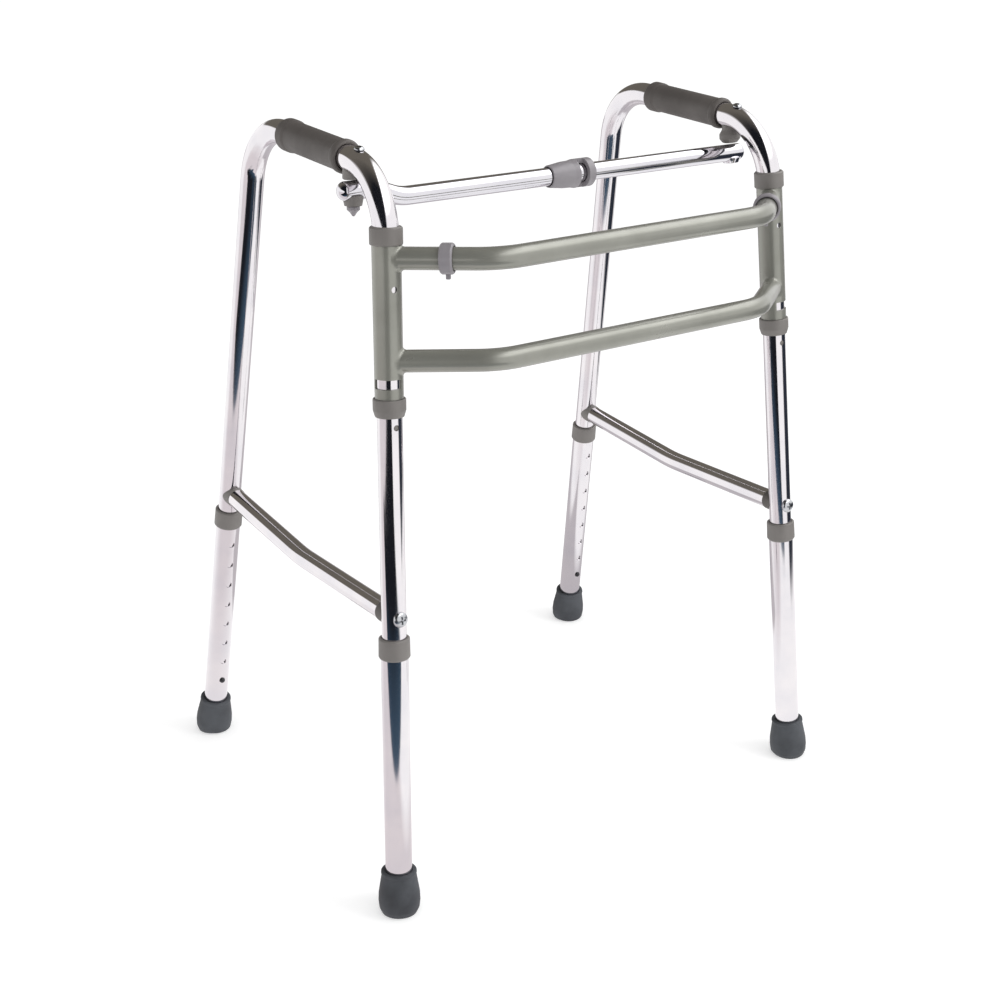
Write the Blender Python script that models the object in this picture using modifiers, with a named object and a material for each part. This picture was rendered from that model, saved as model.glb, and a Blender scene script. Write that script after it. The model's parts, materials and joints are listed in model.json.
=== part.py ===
"""Folding walking frame: two hooped side frames, a front frame and a folding crossbar.

Metres, +Z up, +Y towards the user. Left is -X. Each side frame lies in a plane that leans
inwards, and turns about its front leg to fold.
"""
import math

import bmesh
import bpy
from mathutils import Matrix, Vector

# Places of the frame
TRACK = 0.2858          # side plane from the middle, at the floor
TILT = 0.0558           # how much the side plane leans in per metre of height
FRONT_FOOT_Y = -0.2292
FRONT_LEAN = 0.0815     # rearwards per metre of height
REAR_FOOT_Y = 0.2379
REAR_LEAN = -0.1738
HANDLE_HEIGHT = 0.7819  # handle centre line where y is 0
HANDLE_RISE = 0.0437
HOOP_RADIUS = 0.070

# Tubes
TUBE = 0.0254
TUBE_WALL = 0.0012
SLEEVE = 0.0286
BAR = 0.0222
BAR_WALL = 0.0012
CROSSBAR = 0.0190
CROSSBAR_WALL = 0.0012
SEAT = 0.0003           # gap between pieces that touch
TUBE_END = 0.066        # height where the side tube ends inside the lower leg

# Lower legs
LEG_END = 0.011
FRONT_COLLAR = 0.300
REAR_COLLAR = 0.310
COLLAR_HEIGHT = 0.024
COLLAR = 0.0328
COLLAR_LIP = 0.003
HOLE_PITCH = 0.0285
HOLES = 8
HOLE = 0.0075
BUTTON_HEIGHT = 0.081
BUTTON = 0.0069
BUTTON_REACH = 0.0032
BUTTON_TRAVEL = 0.0052
SPRING_WIDTH = 0.006
SPRING_STOCK = 0.0008

# Feet
FOOT_LENGTH = 0.050
FOOT_TOP = 0.036
FOOT_WIDE = 0.045
FOOT_SINK = 0.003
FOOT_BASE = 0.011
FOOT_EDGE = 0.001

# Front frame, whose heights hang from the handle's
SLEEVE_DROP = 0.0749
SLEEVE_TOP = HANDLE_HEIGHT - SLEEVE_DROP
SLEEVE_SPAN = 0.1474
SLEEVE_BOTTOM = SLEEVE_TOP - SLEEVE_SPAN
TOP_BUSH = 0.0175
TOP_BUSH_WIDE = 0.0324
BOTTOM_BUSH = 0.0186
BOTTOM_BUSH_WIDE = 0.0330
BOTTOM_BUSH_BAND = 0.0125   # straight part of the bottom bush
BOTTOM_BUSH_NARROW = 0.0290
BUSH_EDGE = 0.001
SLOT_RISE = 0.0120      # slot above the sleeve's bottom
SLOT = 0.0095
SLOT_TURN = 38          # degrees, middle of the slot outwards from the front
SLOT_HALF = 66          # degrees, half of the slot's reach round the sleeve
SLEEVE_HOLE_DROP = 0.0410
SLEEVE_HOLE = 0.0065
UPPER_BAR_DROP = 0.0125
UPPER_BAR_HEIGHT = SLEEVE_TOP - UPPER_BAR_DROP
BAR_SPACING = 0.0991
LOWER_BAR_HEIGHT = UPPER_BAR_HEIGHT - BAR_SPACING
BAR_RISE = 0.0037
BAR_CORNER_X = 0.168
BAR_FRONT_Y = -0.2485
BAR_BEND = 0.062
CLIP_PLACE = 0.54
CLIP = 0.030
CLIP_WIDTH = 0.013
CLIP_NUB = 0.0065
CLIP_NUB_WIDE = 0.0045

# Side frames
GRIP_REAR = 0.0288
GRIP_FRONT = -0.0952
GRIP = 0.0315
GRIP_BEAD = 0.0340
GRIP_BEAD_LENGTH = 0.018
BRACE_FRONT_HEIGHT = 0.3335
BRACE_REAR_HEIGHT = 0.3420
BRACE_LOW_Y = -0.0046
BRACE_LOW_HEIGHT = 0.3265
BRACE_BEND = 0.25
BRACE_CAP = 0.009
BRACE_CAP_RIM = 0.0008
BOLT_HEAD = 0.016
BOLT = 0.005
MARK_DROP = 0.0281      # mark below the sleeve's bottom
MARK = 0.006
SCREW_LENGTH = 0.0150   # bracket screw below the handle's centre line
SCREW_HEAD = 0.0104
SCREW_DOME = 0.0030

# Folding crossbar, whose left end bends up to its bracket
PIVOT_Y = -0.1075
LEFT_NECK = 0.0070      # between the handle and the crossbar
RIGHT_NECK = 0.0190
PIVOT_HEIGHT = HANDLE_HEIGHT + HANDLE_RISE * PIVOT_Y - TUBE / 2 - RIGHT_NECK - CROSSBAR / 2
BEND_LENGTH = 0.052     # from the left pivot to where the crossbar starts to rise
BEND_FLAT = 0.020       # level part of the left end, inwards of its pivot
BEND_RADIUS = 0.055
LEFT_BLOCK = 0.020
RIGHT_BLOCK = 0.0235    # the right block is a knob on a neck
KNOB_FOOT = 0.0165
KNOB_NECK = 0.0170
KNOB_WAIST = 0.0145     # height of the neck above the knob's foot
BLOCK_SCREW_Y = -0.1162
CROSSBAR_END = 0.017
OPEN_GAP = 0.0010       # more room above the crossbar where the folding loop is open
PIN_REACH = 0.0030      # pivot bolt inside its block
SADDLE = 0.0215
SADDLE_TAPER = 0.0020
SADDLE_GRIP = 0.0045    # saddle up the side of the crossbar
LEFT_SADDLE_DROP = 0.0055
RIGHT_SADDLE_DROP = 0.0015
NUT = 0.013
NUT_HEIGHT = 0.0100
RIVET = 0.008
RIVET_HEIGHT = 0.0008
PIVOT_BOLT = 0.006
HINGE_TILT = 3.427      # degrees, centre hinge pin leans about the crossbar
TONGUE = 0.0070
FORK_REACH = 0.0108
PLUG = 0.022
CENTRE_PIN = 0.005
LATCH_START = -0.011
LATCH_END = 0.0434
LATCH_WALL = 0.0036
LATCH_BORE = 0.0208
LATCH_WINDOW = 0.0111
LATCH_RING = 0.0099
LATCH_FLARE = 0.0190    # where the latch reaches its full width
LATCH_SILL = 0.001      # start of the window in front of the centre line

BLOCK_TOP = 0.06        # cutter that ends a block at the handle

# Facets round a tube, a bar and a bore
SIDES = 20
BAR_SIDES = 16
BORE_SIDES = 12

LEFT = -1
RIGHT = 1
SIDE_NAMES = {LEFT: "left", RIGHT: "right"}


# Setting out

def side_point(side, y, z):
    """A point of a side plane."""
    return Vector((side * (TRACK - TILT * z), y, z))


def front_axis(side, z):
    """A point of a front leg's centre line."""
    return side_point(side, FRONT_FOOT_Y + FRONT_LEAN * z, z)


def rear_axis(side, z):
    """A point of a rear leg's centre line."""
    return side_point(side, REAR_FOOT_Y + REAR_LEAN * z, z)


def front_up(side):
    """Unit vector up a front leg."""
    return (front_axis(side, 1) - front_axis(side, 0)).normalized()


def rear_up(side):
    """Unit vector up a rear leg."""
    return (rear_axis(side, 1) - rear_axis(side, 0)).normalized()


def handle_point(side, y):
    """A point of the handle's centre line."""
    return side_point(side, y, HANDLE_HEIGHT + HANDLE_RISE * y)


def handle_corner(side, foot_y, lean):
    """Where a leg's centre line meets the handle's."""
    z = (HANDLE_HEIGHT + HANDLE_RISE * foot_y) / (1 - HANDLE_RISE * lean)
    return side_point(side, foot_y + lean * z, z)


def plane_normal(side):
    """Outward unit vector across a side plane."""
    return Vector((side, 0, TILT)).normalized()


def across(side, up, towards):
    """Unit vector in the side plane, square to up, on the side of towards."""
    flat = up.cross(plane_normal(side)).normalized()
    return flat if flat.dot(towards) > 0 else -flat


def axes(origin, up, forward):
    """Matrix with Z along up and Y as near to forward as it can be."""
    z = up.normalized()
    y = (forward - z * forward.dot(z)).normalized()
    turn = Matrix((y.cross(z), y, z)).transposed()
    return Matrix.Translation(origin) @ turn.to_4x4()


ACROSS = Vector((1, 0, 0))
REARWARD = Vector((0, 1, 0))
UPWARD = Vector((0, 0, 1))


# Modelling

for old in list(bpy.data.objects):
    bpy.data.objects.remove(old, do_unlink=True)

walker = bpy.data.collections.new("Folding walker")
bpy.context.scene.collection.children.link(walker)
cutters = bpy.data.collections.new("Cutters")
bpy.context.scene.collection.children.link(cutters)


def paint(name, colour, metallic, roughness):
    """A Principled material."""
    material = bpy.data.materials.new(name)
    material.use_nodes = True
    shader = material.node_tree.nodes["Principled BSDF"]
    shader.inputs["Base Color"].default_value = (*colour, 1)
    shader.inputs["Metallic"].default_value = metallic
    shader.inputs["Roughness"].default_value = roughness
    material.diffuse_color = (*colour, 1)
    return material


FINISHES = {
    "aluminium": ((0.80, 0.81, 0.83), 1.0, 0.18),
    "chrome": ((0.75, 0.76, 0.78), 1.0, 0.08),
    "paint": ((0.25, 0.27, 0.24), 0.2, 0.35),
    "collar": ((0.19, 0.18, 0.17), 0.0, 0.45),
    "grip": ((0.11, 0.10, 0.09), 0.0, 0.60),
    "rubber": ((0.045, 0.05, 0.06), 0.0, 0.70),
    "black": ((0.02, 0.02, 0.02), 0.0, 0.50),
    "steel": ((0.55, 0.55, 0.56), 1.0, 0.30),
}


def finish(obj, kind):
    """Gives an object its own material of a kind."""
    colour, metallic, roughness = FINISHES[kind]
    obj.data.materials.clear()
    obj.data.materials.append(paint(obj.name.replace("_", " ") + " " + kind,
                                    colour, metallic, roughness))
    return obj


def pivot(name, place, parent=None):
    """An empty on a joint axis, which carries the pieces that turn there."""
    empty = bpy.data.objects.new(name, None)
    empty.empty_display_size = 0.03
    walker.objects.link(empty)
    empty["place"] = list(place)
    if parent:
        empty.parent = parent
        empty.location = Vector(place) - Vector(parent["place"])
    else:
        empty.location = place
    return empty


def put(obj, matrix, parent=None):
    """Places an object by a world matrix, under a pivot if one carries it."""
    shift = Vector(parent["place"]) if parent else Vector((0, 0, 0))
    obj.parent = parent
    obj.location = matrix.translation - shift
    obj.rotation_euler = matrix.to_euler()
    return obj


def from_bmesh(name, bm, group):
    """Makes an object of a bmesh."""
    mesh = bpy.data.meshes.new(name)
    bm.to_mesh(mesh)
    bm.free()
    obj = bpy.data.objects.new(name, mesh)
    group.objects.link(obj)
    return obj


def turned(name, profile, sides=SIDES, group=walker):
    """Revolves a profile of (radius, height) points about Z.

    A profile that starts on the axis is open and closes itself there. Any other is a ring.
    """
    bm = bmesh.new()
    points = [bm.verts.new((radius, 0, height)) for radius, height in profile]
    for first, second in zip(points, points[1:]):
        bm.edges.new((first, second))
    if profile[0][0] > 0:
        bm.edges.new((points[-1], points[0]))
    obj = from_bmesh(name, bm, group)
    screw = obj.modifiers.new("Revolve", "SCREW")
    screw.axis = "Z"
    screw.angle = math.tau
    screw.steps = sides
    screw.render_steps = sides
    screw.use_merge_vertices = True
    screw.merge_threshold = 0.00001
    screw.use_smooth_shade = False
    return obj


def inside(radius, sides=SIDES):
    """Radius of a cut whose flats clear a round of the given radius."""
    return radius / math.cos(math.pi / sides)


def cylinder(name, radius, low, high, sides=SIDES, group=walker):
    """A cylinder along Z."""
    return turned(name, [(0, high), (radius, high), (radius, low), (0, low)], sides, group)


def ring(name, inner, outer, low, high, sides=SIDES, group=walker):
    """A plain ring along Z."""
    bore = inside(inner, sides)
    return turned(name, [(outer, high), (outer, low), (bore, low), (bore, high)], sides, group)


def box(name, size, centre, group=walker):
    """A box of a size about a centre."""
    bm = bmesh.new()
    bmesh.ops.create_cube(bm, size=1)
    bmesh.ops.scale(bm, vec=Vector(size), verts=bm.verts)
    bmesh.ops.translate(bm, vec=Vector(centre), verts=bm.verts)
    return from_bmesh(name, bm, group)


def prism(name, outline, half, group=walker):
    """Extrudes an outline of (y, z) points to both sides along X."""
    bm = bmesh.new()
    ends = []
    for x in (-half, half):
        ends.append([bm.verts.new((x, y, z)) for y, z in outline])
    count = len(outline)
    bm.faces.new(ends[0])
    bm.faces.new(list(reversed(ends[1])))
    for i in range(count):
        j = (i + 1) % count
        bm.faces.new((ends[0][i], ends[1][i], ends[1][j], ends[0][j]))
    bmesh.ops.recalc_face_normals(bm, faces=bm.faces)
    return from_bmesh(name, bm, group)


def rounded(points, radius, steps):
    """Points of a route with an arc in place of each corner."""
    route = [points[0]]
    for before, corner, after in zip(points, points[1:], points[2:]):
        back = (before - corner).normalized()
        ahead = (after - corner).normalized()
        half = back.angle(ahead) / 2
        reach = radius / math.tan(half)
        centre = corner + (back + ahead).normalized() * radius / math.sin(half)
        start = corner + back * reach
        turn = math.pi - 2 * half
        axis = (start - centre).cross(corner + ahead * reach - centre).normalized()
        for i in range(steps + 1):
            arm = start - centre
            arm.rotate(Matrix.Rotation(turn * i / steps, 3, axis))
            route.append(centre + arm)
    route.append(points[-1])
    return route


def rod(name, route, radius, sides, group=walker, widths=None):
    """A round rod along a route, as a mesh with its own origin at the first point.

    Widths are shares of the radius at the route's points, for a rod that narrows.
    """
    curve = bpy.data.curves.new(name, "CURVE")
    curve.dimensions = "3D"
    curve.bevel_depth = radius
    curve.bevel_resolution = (sides - 4) // 2
    curve.use_fill_caps = True
    spline = curve.splines.new("POLY")
    spline.points.add(len(route) - 1)
    for knot, point, width in zip(spline.points, route, widths or [1] * len(route)):
        knot.co = (*(point - route[0]), 1)
        knot.radius = width
    shape = bpy.data.objects.new(name + " route", curve)
    cutters.objects.link(shape)
    bpy.context.view_layer.update()
    mesh = bpy.data.meshes.new_from_object(shape.evaluated_get(
        bpy.context.evaluated_depsgraph_get()))
    bpy.data.objects.remove(shape, do_unlink=True)
    bm = bmesh.new()
    bm.from_mesh(mesh)
    bmesh.ops.remove_doubles(bm, verts=bm.verts, dist=0.00001)
    bmesh.ops.recalc_face_normals(bm, faces=bm.faces)
    bpy.data.meshes.remove(mesh)
    obj = from_bmesh(name, bm, group)
    obj.location = route[0]
    return obj


def boolean(obj, other, operation):
    """Adds an exact Boolean with a piece that is kept out of the model."""
    for group in list(other.users_collection):
        group.objects.unlink(other)
    cutters.objects.link(other)
    other.display_type = "WIRE"
    other.hide_render = True
    modifier = obj.modifiers.new(operation.title() + " " + other.name, "BOOLEAN")
    modifier.object = other
    modifier.operation = operation
    modifier.solver = "EXACT"
    return obj


def cut(obj, *tools):
    """Cuts tools away from an object."""
    for tool in tools:
        boolean(obj, tool, "DIFFERENCE")
    return obj


def join(obj, *others):
    """Fuses pieces with an object."""
    for other in others:
        boolean(obj, other, "UNION")
    return obj


def drill(name, radius, length, origin, direction, sides=12):
    """A cutter along a direction from a point."""
    tool = cylinder(name, radius, 0, length, sides, cutters)
    return put(tool, axes(origin, direction, UPWARD if abs(direction.z) < 0.9 else REARWARD))


def pipe(name, route, size, wall, sides, parent):
    """A tube along a route, open at both ends."""
    obj = rod(name, route, size / 2, sides)
    start = route[0] - (route[1] - route[0]).normalized() * size
    end = route[-1] + (route[-1] - route[-2]).normalized() * size
    inner = rod(name + " bore", [start] + route[1:-1] + [end], size / 2 - wall, BORE_SIDES,
                cutters)
    cut(obj, inner)
    return put(obj, Matrix.Translation(route[0]), parent)


def hoop_route(side):
    """Centre line of a side tube, from the front leg's end to the rear leg's."""
    corners = [front_axis(side, TUBE_END),
               handle_corner(side, FRONT_FOOT_Y, FRONT_LEAN),
               handle_corner(side, REAR_FOOT_Y, REAR_LEAN),
               rear_axis(side, TUBE_END)]
    return rounded(corners, HOOP_RADIUS, 7)


def hoop_seat(side, name):
    """Cutter that fits a piece to the side tube with the seat gap."""
    return rod(name, hoop_route(side), inside(TUBE / 2 + SEAT), SIDES, cutters)


# Joints

folds = {}
for side in (LEFT, RIGHT):
    folds[side] = pivot(SIDE_NAMES[side] + "_fold_axis", front_axis(side, SLEEVE_BOTTOM))


def pivot_point(side):
    """Where a bracket's pin crosses the crossbar's centre line."""
    return side_point(side, PIVOT_Y, PIVOT_HEIGHT)


# The folding loop is open at the right bracket, whose pin goes with the crossbar
strut_axes = {LEFT: pivot("left_strut_axis", pivot_point(LEFT), folds[LEFT])}
strut_axes[RIGHT] = pivot("centre_hinge_axis", (0, PIVOT_Y, PIVOT_HEIGHT), strut_axes[LEFT])


# Front frame

def make_sleeve(side):
    """Painted sleeve that a side frame's front leg turns in."""
    name = SIDE_NAMES[side]
    middle = (SLEEVE_TOP + SLEEVE_BOTTOM) / 2
    half = (front_axis(side, SLEEVE_TOP) - front_axis(side, SLEEVE_BOTTOM)).length / 2
    place = axes(front_axis(side, middle), front_up(side), REARWARD)
    sleeve = ring(name + "_sleeve", TUBE / 2 + SEAT, SLEEVE / 2, -half, half)
    put(sleeve, place)
    hole = drill(name + " sleeve hole", SLEEVE_HOLE / 2, SLEEVE,
                 front_axis(side, SLEEVE_TOP - SLEEVE_HOLE_DROP),
                 -across(side, front_up(side), REARWARD))
    slot_height = (SLEEVE_BOTTOM + SLOT_RISE - middle) * half * 2 / SLEEVE_SPAN
    chord = SLEEVE / 2 * math.cos(math.radians(SLOT_HALF))
    slot = box(name + " sleeve slot", (SLEEVE * 2, SLEEVE, SLOT),
               (0, -chord - SLEEVE / 2, slot_height), cutters)
    put(slot, place @ Matrix.Rotation(side * math.radians(SLOT_TURN), 4, "Z"))
    cut(sleeve, hole, slot)
    finish(sleeve, "paint")


def make_bushes(side):
    """Moulded bushes that close the sleeve above and below."""
    name = SIDE_NAMES[side]
    bore = inside(TUBE / 2 + SEAT)
    top = TOP_BUSH_WIDE / 2
    place = axes(front_axis(side, SLEEVE_TOP), front_up(side), REARWARD)
    high = SEAT + TOP_BUSH
    profile = [(0, high), (top - BUSH_EDGE * 1.5, high), (top, high - BUSH_EDGE * 1.5),
               (top, SEAT + BUSH_EDGE), (top - BUSH_EDGE, SEAT), (0, SEAT)]
    bush = turned(name + "_top_bush", profile)
    put(bush, place, folds[side])
    cut(bush, hoop_seat(side, name + " top bush seat"))
    finish(bush, "collar")
    wide = BOTTOM_BUSH_WIDE / 2
    place = axes(front_axis(side, SLEEVE_BOTTOM), front_up(side), REARWARD)
    profile = [(wide - BUSH_EDGE, -SEAT), (wide, -SEAT - BUSH_EDGE),
               (wide, -SEAT - BOTTOM_BUSH_BAND), (BOTTOM_BUSH_NARROW / 2, -SEAT - BOTTOM_BUSH),
               (bore, -SEAT - BOTTOM_BUSH), (bore, -SEAT)]
    bush = turned(name + "_bottom_bush", profile)
    put(bush, place, folds[side])
    finish(bush, "collar")


def bar_route(height):
    """Corner points of a front bar, from the left sleeve's axis to the right one's."""
    corner = Vector((BAR_CORNER_X, BAR_FRONT_Y, height + BAR_RISE))
    far = front_axis(RIGHT, height)
    flip = Matrix.Scale(-1, 3, Vector((1, 0, 0)))
    return [flip @ far, flip @ corner, corner, far]


def make_bar(name, height):
    """Painted bar that joins the sleeves."""
    route = bar_route(height)
    ahead = (route[1] - route[0]).normalized() * SLEEVE / 4
    route[0] = route[0] + ahead
    ahead = (route[-2] - route[-1]).normalized() * SLEEVE / 4
    route[-1] = route[-1] + ahead
    bar = pipe(name, rounded(route, BAR_BEND, 4), BAR, BAR_WALL, BAR_SIDES, None)
    for side in (LEFT, RIGHT):
        cope = cylinder(name + " cope " + SIDE_NAMES[side], SLEEVE / 2 + SEAT,
                        -BAR * 1.2, BAR * 1.2, SIDES, cutters)
        put(cope, axes(front_axis(side, height), front_up(side), REARWARD))
        cut(bar, cope)
    finish(bar, "paint")


def make_clip(side):
    """Ring clip round the upper bar, with its nub below."""
    route = bar_route(UPPER_BAR_HEIGHT)
    start, corner = (route[0], route[1]) if side == LEFT else (route[3], route[2])
    along = (corner - start).normalized()
    name = SIDE_NAMES[side] + "_ring_clip"
    clip = ring(name, BAR / 2 + SEAT, CLIP / 2, -CLIP_WIDTH / 2, CLIP_WIDTH / 2, BAR_SIDES)
    root = (CLIP - BAR) / 4
    nub = box(name + " nub", (CLIP_NUB_WIDE, CLIP_NUB + root, CLIP_NUB_WIDE),
              (0, -CLIP / 2 - (CLIP_NUB - root) / 2, 0), cutters)
    place = axes(start.lerp(corner, CLIP_PLACE), along, UPWARD)
    put(clip, place)
    put(nub, place)
    join(clip, nub)
    finish(clip, "collar")


# Side frames

def make_side_tube(side):
    """Hoop of front leg, handle and rear leg."""
    name = SIDE_NAMES[side] + "_side_tube"
    tube = pipe(name, hoop_route(side), TUBE, TUBE_WALL, SIDES, folds[side])
    for leg in LEGS[side]:
        hole = drill(leg.name + " tube hole", BUTTON / 2 + SEAT, TUBE, leg.at(BUTTON_HEIGHT),
                     leg.button_way)
        cut(tube, hole)
    forward = -across(side, front_up(side), REARWARD)
    mark = drill(name + " mark", MARK / 2, TUBE, front_axis(side, SLEEVE_BOTTOM - MARK_DROP), forward)
    bolt = drill(name + " bolt hole", BOLT / 2 + SEAT, TUBE * 2,
                 front_axis(side, BRACE_FRONT_HEIGHT) + forward * TUBE, -forward)
    screw = screw_place(side)
    tap = drill(name + " screw hole", BOLT / 2 + SEAT, TUBE * 2,
                screw.translation - screw.to_3x3().col[2] * TUBE, screw.to_3x3().col[2])
    cut(tube, mark, bolt, tap)
    finish(tube, "aluminium")


def make_grip(side):
    """Moulded hand grip on the straight of the handle."""
    name = SIDE_NAMES[side] + "_grip"
    rear = handle_point(side, GRIP_REAR)
    front = handle_point(side, GRIP_FRONT)
    half = (rear - front).length / 2
    wide = GRIP / 2
    bead = GRIP_BEAD / 2
    bore = inside(TUBE / 2 + SEAT)
    edge = 0.002
    neck = half - GRIP_BEAD_LENGTH
    front_neck = half - GRIP_BEAD_LENGTH * 0.55
    profile = [(bead - edge, half), (bead, half - edge), (bead, neck + edge),
               (wide, neck), (wide, -front_neck), (bead, -front_neck - edge),
               (bead, -half + edge), (bead - edge, -half), (bore, -half), (bore, half)]
    grip = turned(name, profile)
    put(grip, axes((rear + front) / 2, rear - front, UPWARD), folds[side])
    finish(grip, "grip")


def screw_place(side):
    """Frame of the bracket screw: Z up through the bend, origin on the tube's centre line."""
    corner = handle_corner(side, FRONT_FOOT_Y, FRONT_LEAN)
    down = (front_axis(side, 0) - corner).normalized()
    back = (handle_point(side, 1) - corner).normalized()
    half = down.angle(back) / 2
    centre = corner + (down + back).normalized() * HOOP_RADIUS / math.sin(half)
    seek = side_point(side, BLOCK_SCREW_Y, HANDLE_HEIGHT)
    out = seek - centre
    out = (out - plane_normal(side) * out.dot(plane_normal(side))).normalized()
    return axes(centre + out * HOOP_RADIUS, out, REARWARD)


def strut_rise(side):
    """How far the crossbar's end stands above its middle."""
    return RIGHT_NECK - LEFT_NECK if side == LEFT else 0


def strut_end(side):
    """Where the bracket's pin crosses the centre line of the crossbar's end."""
    up = front_up(side)
    return pivot_point(side) + up * strut_rise(side) / up.z


def saddle_low(side):
    """Bottom of a saddle below the centre line of the crossbar's end."""
    return -CROSSBAR / 2 - (LEFT_SADDLE_DROP if side == LEFT else RIGHT_SADDLE_DROP)


def make_bracket(side):
    """Block under the handle, its screw from above, and the pivot bolt from below."""
    name = SIDE_NAMES[side]
    up = front_up(side)
    place = axes(strut_end(side), up, REARWARD)
    high = TUBE + RIGHT_NECK
    block_radius = (LEFT_BLOCK if side == LEFT else RIGHT_BLOCK) / 2
    low = CROSSBAR / 2 + block_radius * TILT + SEAT
    if side == LEFT:
        block = cylinder(name + "_bracket_block", block_radius, low, high)
    else:
        low = low + OPEN_GAP
        waist = low + KNOB_WAIST
        profile = [(0, high), (KNOB_NECK / 2, high), (KNOB_NECK / 2, waist),
                   (block_radius, low + KNOB_WAIST * 0.66), (block_radius, low + KNOB_WAIST * 0.3),
                   (KNOB_FOOT / 2, low), (0, low)]
        block = turned(name + "_bracket_block", profile)
    put(block, place, folds[side])
    seat = hoop_seat(side, name + " block seat")
    above = box(name + " block top", (BLOCK_TOP, BLOCK_TOP, high), (0, 0, high / 2), cutters)
    put(above, axes(handle_point(side, PIVOT_Y), up, REARWARD))
    shank = drill(name + " block bore", BOLT / 2 + SEAT, SCREW_LENGTH + SEAT,
                  screw_place(side).translation, -screw_place(side).to_3x3().col[2])
    cut(block, seat, above, shank)
    head = TUBE / 2 + SEAT
    rim = SCREW_HEAD / 2
    screw = turned(name + "_bracket_screw",
                   [(0, head + SCREW_DOME), (rim * 0.5, head + SCREW_DOME * 0.92),
                    (rim * 0.92, head + SCREW_DOME * 0.4), (rim, head), (BOLT / 2, head),
                    (BOLT / 2, -SCREW_LENGTH), (0, -SCREW_LENGTH)], BAR_SIDES)
    put(screw, screw_place(side), folds[side])
    finish(screw, "steel")
    bolt_low = saddle_low(side) - SEAT
    if side == LEFT:
        bolt_top = low + PIN_REACH
        wide = NUT / 2
        foot = [(wide, bolt_low), (wide, bolt_low - NUT_HEIGHT * 0.35),
                (wide * 0.55, bolt_low - NUT_HEIGHT * 0.6), (0.0012, bolt_low - NUT_HEIGHT * 0.97),
                (0, bolt_low - NUT_HEIGHT)]
        bore = drill(name + " block pivot bore", PIVOT_BOLT / 2 + SEAT, bolt_top + SEAT,
                     strut_end(side), up)
        cut(block, bore)
    else:
        bolt_top = CROSSBAR / 2 - SEAT
        foot = [(RIVET / 2, bolt_low), (RIVET / 2, bolt_low - RIVET_HEIGHT / 2),
                (RIVET / 4, bolt_low - RIVET_HEIGHT), (0, bolt_low - RIVET_HEIGHT)]
    bolt = turned(name + "_pivot_bolt", [(0, bolt_top), (PIVOT_BOLT / 2, bolt_top),
                                         (PIVOT_BOLT / 2, bolt_low), *foot], BAR_SIDES)
    put(bolt, place, folds[LEFT] if side == LEFT else strut_axes[RIGHT])
    finish(bolt, "steel")
    finish(block, "collar")


def brace_route(side):
    """Corner points of the brace, from the front leg's axis to the rear leg's."""
    return [front_axis(side, BRACE_FRONT_HEIGHT),
            side_point(side, BRACE_LOW_Y, BRACE_LOW_HEIGHT),
            rear_axis(side, BRACE_REAR_HEIGHT)]


def make_brace(side):
    """Bowed side brace, with a moulded end at each leg and the bolt that holds it."""
    name = SIDE_NAMES[side] + "_brace"
    route = brace_route(side)
    ends = []
    for i, (leg_end, near) in enumerate(((route[0], route[1]), (route[2], route[1]))):
        ahead = (near - leg_end).normalized()
        reach = TUBE / 2 + SEAT + BRACE_CAP
        ends.append(leg_end + ahead * reach)
        label = ("_front_end", "_rear_end")[i]
        wide = BAR / 2 + BRACE_CAP_RIM
        plug = (BAR / 2 - BAR_WALL) * math.cos(math.pi / BORE_SIDES) - SEAT
        cap = turned(name + label,
                     [(0, reach + 0.010), (plug - 0.001, reach + 0.010),
                      (plug, reach + 0.009), (plug, reach - SEAT), (wide, reach - SEAT),
                      (wide + 0.0006, reach - 0.003), (wide + 0.0012, 0), (0, 0)], BAR_SIDES)
        put(cap, axes(leg_end, ahead, plane_normal(side)), folds[side])
        up = front_up(side) if i == 0 else rear_up(side)
        cope = cylinder(name + label + " cope", inside(TUBE / 2 + SEAT), -BAR, BAR, SIDES,
                        cutters)
        put(cope, axes(leg_end, up, REARWARD))
        cut(cap, cope)
        if i == 0:
            bore = drill(name + " bolt bore", BOLT / 2 + SEAT, TUBE / 2 + 0.012,
                         leg_end, across(side, up, REARWARD))
            cut(cap, bore)
        finish(cap, "black" if i == 0 else "collar")
    brace = pipe(name, rounded([ends[0], route[1], ends[1]], BRACE_BEND, 3), BAR, BAR_WALL,
                 BAR_SIDES, folds[side])
    finish(brace, "aluminium")
    head = TUBE / 2 + SEAT
    bolt = turned(name + "_bolt",
                  [(0, head + 0.0042), (BOLT_HEAD * 0.28, head + 0.0036),
                   (BOLT_HEAD * 0.44, head + 0.0018), (BOLT_HEAD / 2, head + 0.0004),
                   (BOLT_HEAD / 2, head), (BOLT / 2, head), (BOLT / 2, -TUBE / 2 - 0.011),
                   (0, -TUBE / 2 - 0.011)], 16)
    put(bolt, axes(front_axis(side, BRACE_FRONT_HEIGHT),
                   -across(side, front_up(side), REARWARD), UPWARD), folds[side])
    finish(bolt, "steel")


# Lower legs

class Leg:
    """One lower leg: its name, its centre line and the way its button faces."""

    def __init__(self, side, front):
        self.side = side
        self.front = front
        self.name = SIDE_NAMES[side] + ("_front" if front else "_rear")
        self.at = (lambda z: front_axis(side, z)) if front else (lambda z: rear_axis(side, z))
        self.up = front_up(side) if front else rear_up(side)
        self.button_way = across(side, self.up, REARWARD if front else -REARWARD)
        self.top = FRONT_COLLAR if front else REAR_COLLAR
        self.slope = (self.at(1) - self.at(0)).length
        self.pivot = pivot(self.name + "_leg_axis", self.at(self.top), folds[side])

    def place(self, z):
        """Frame on the centre line with Z up the leg and Y towards the button."""
        return axes(self.at(z), self.up, self.button_way)


LEGS = {side: (Leg(side, True), Leg(side, False)) for side in (LEFT, RIGHT)}


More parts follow.
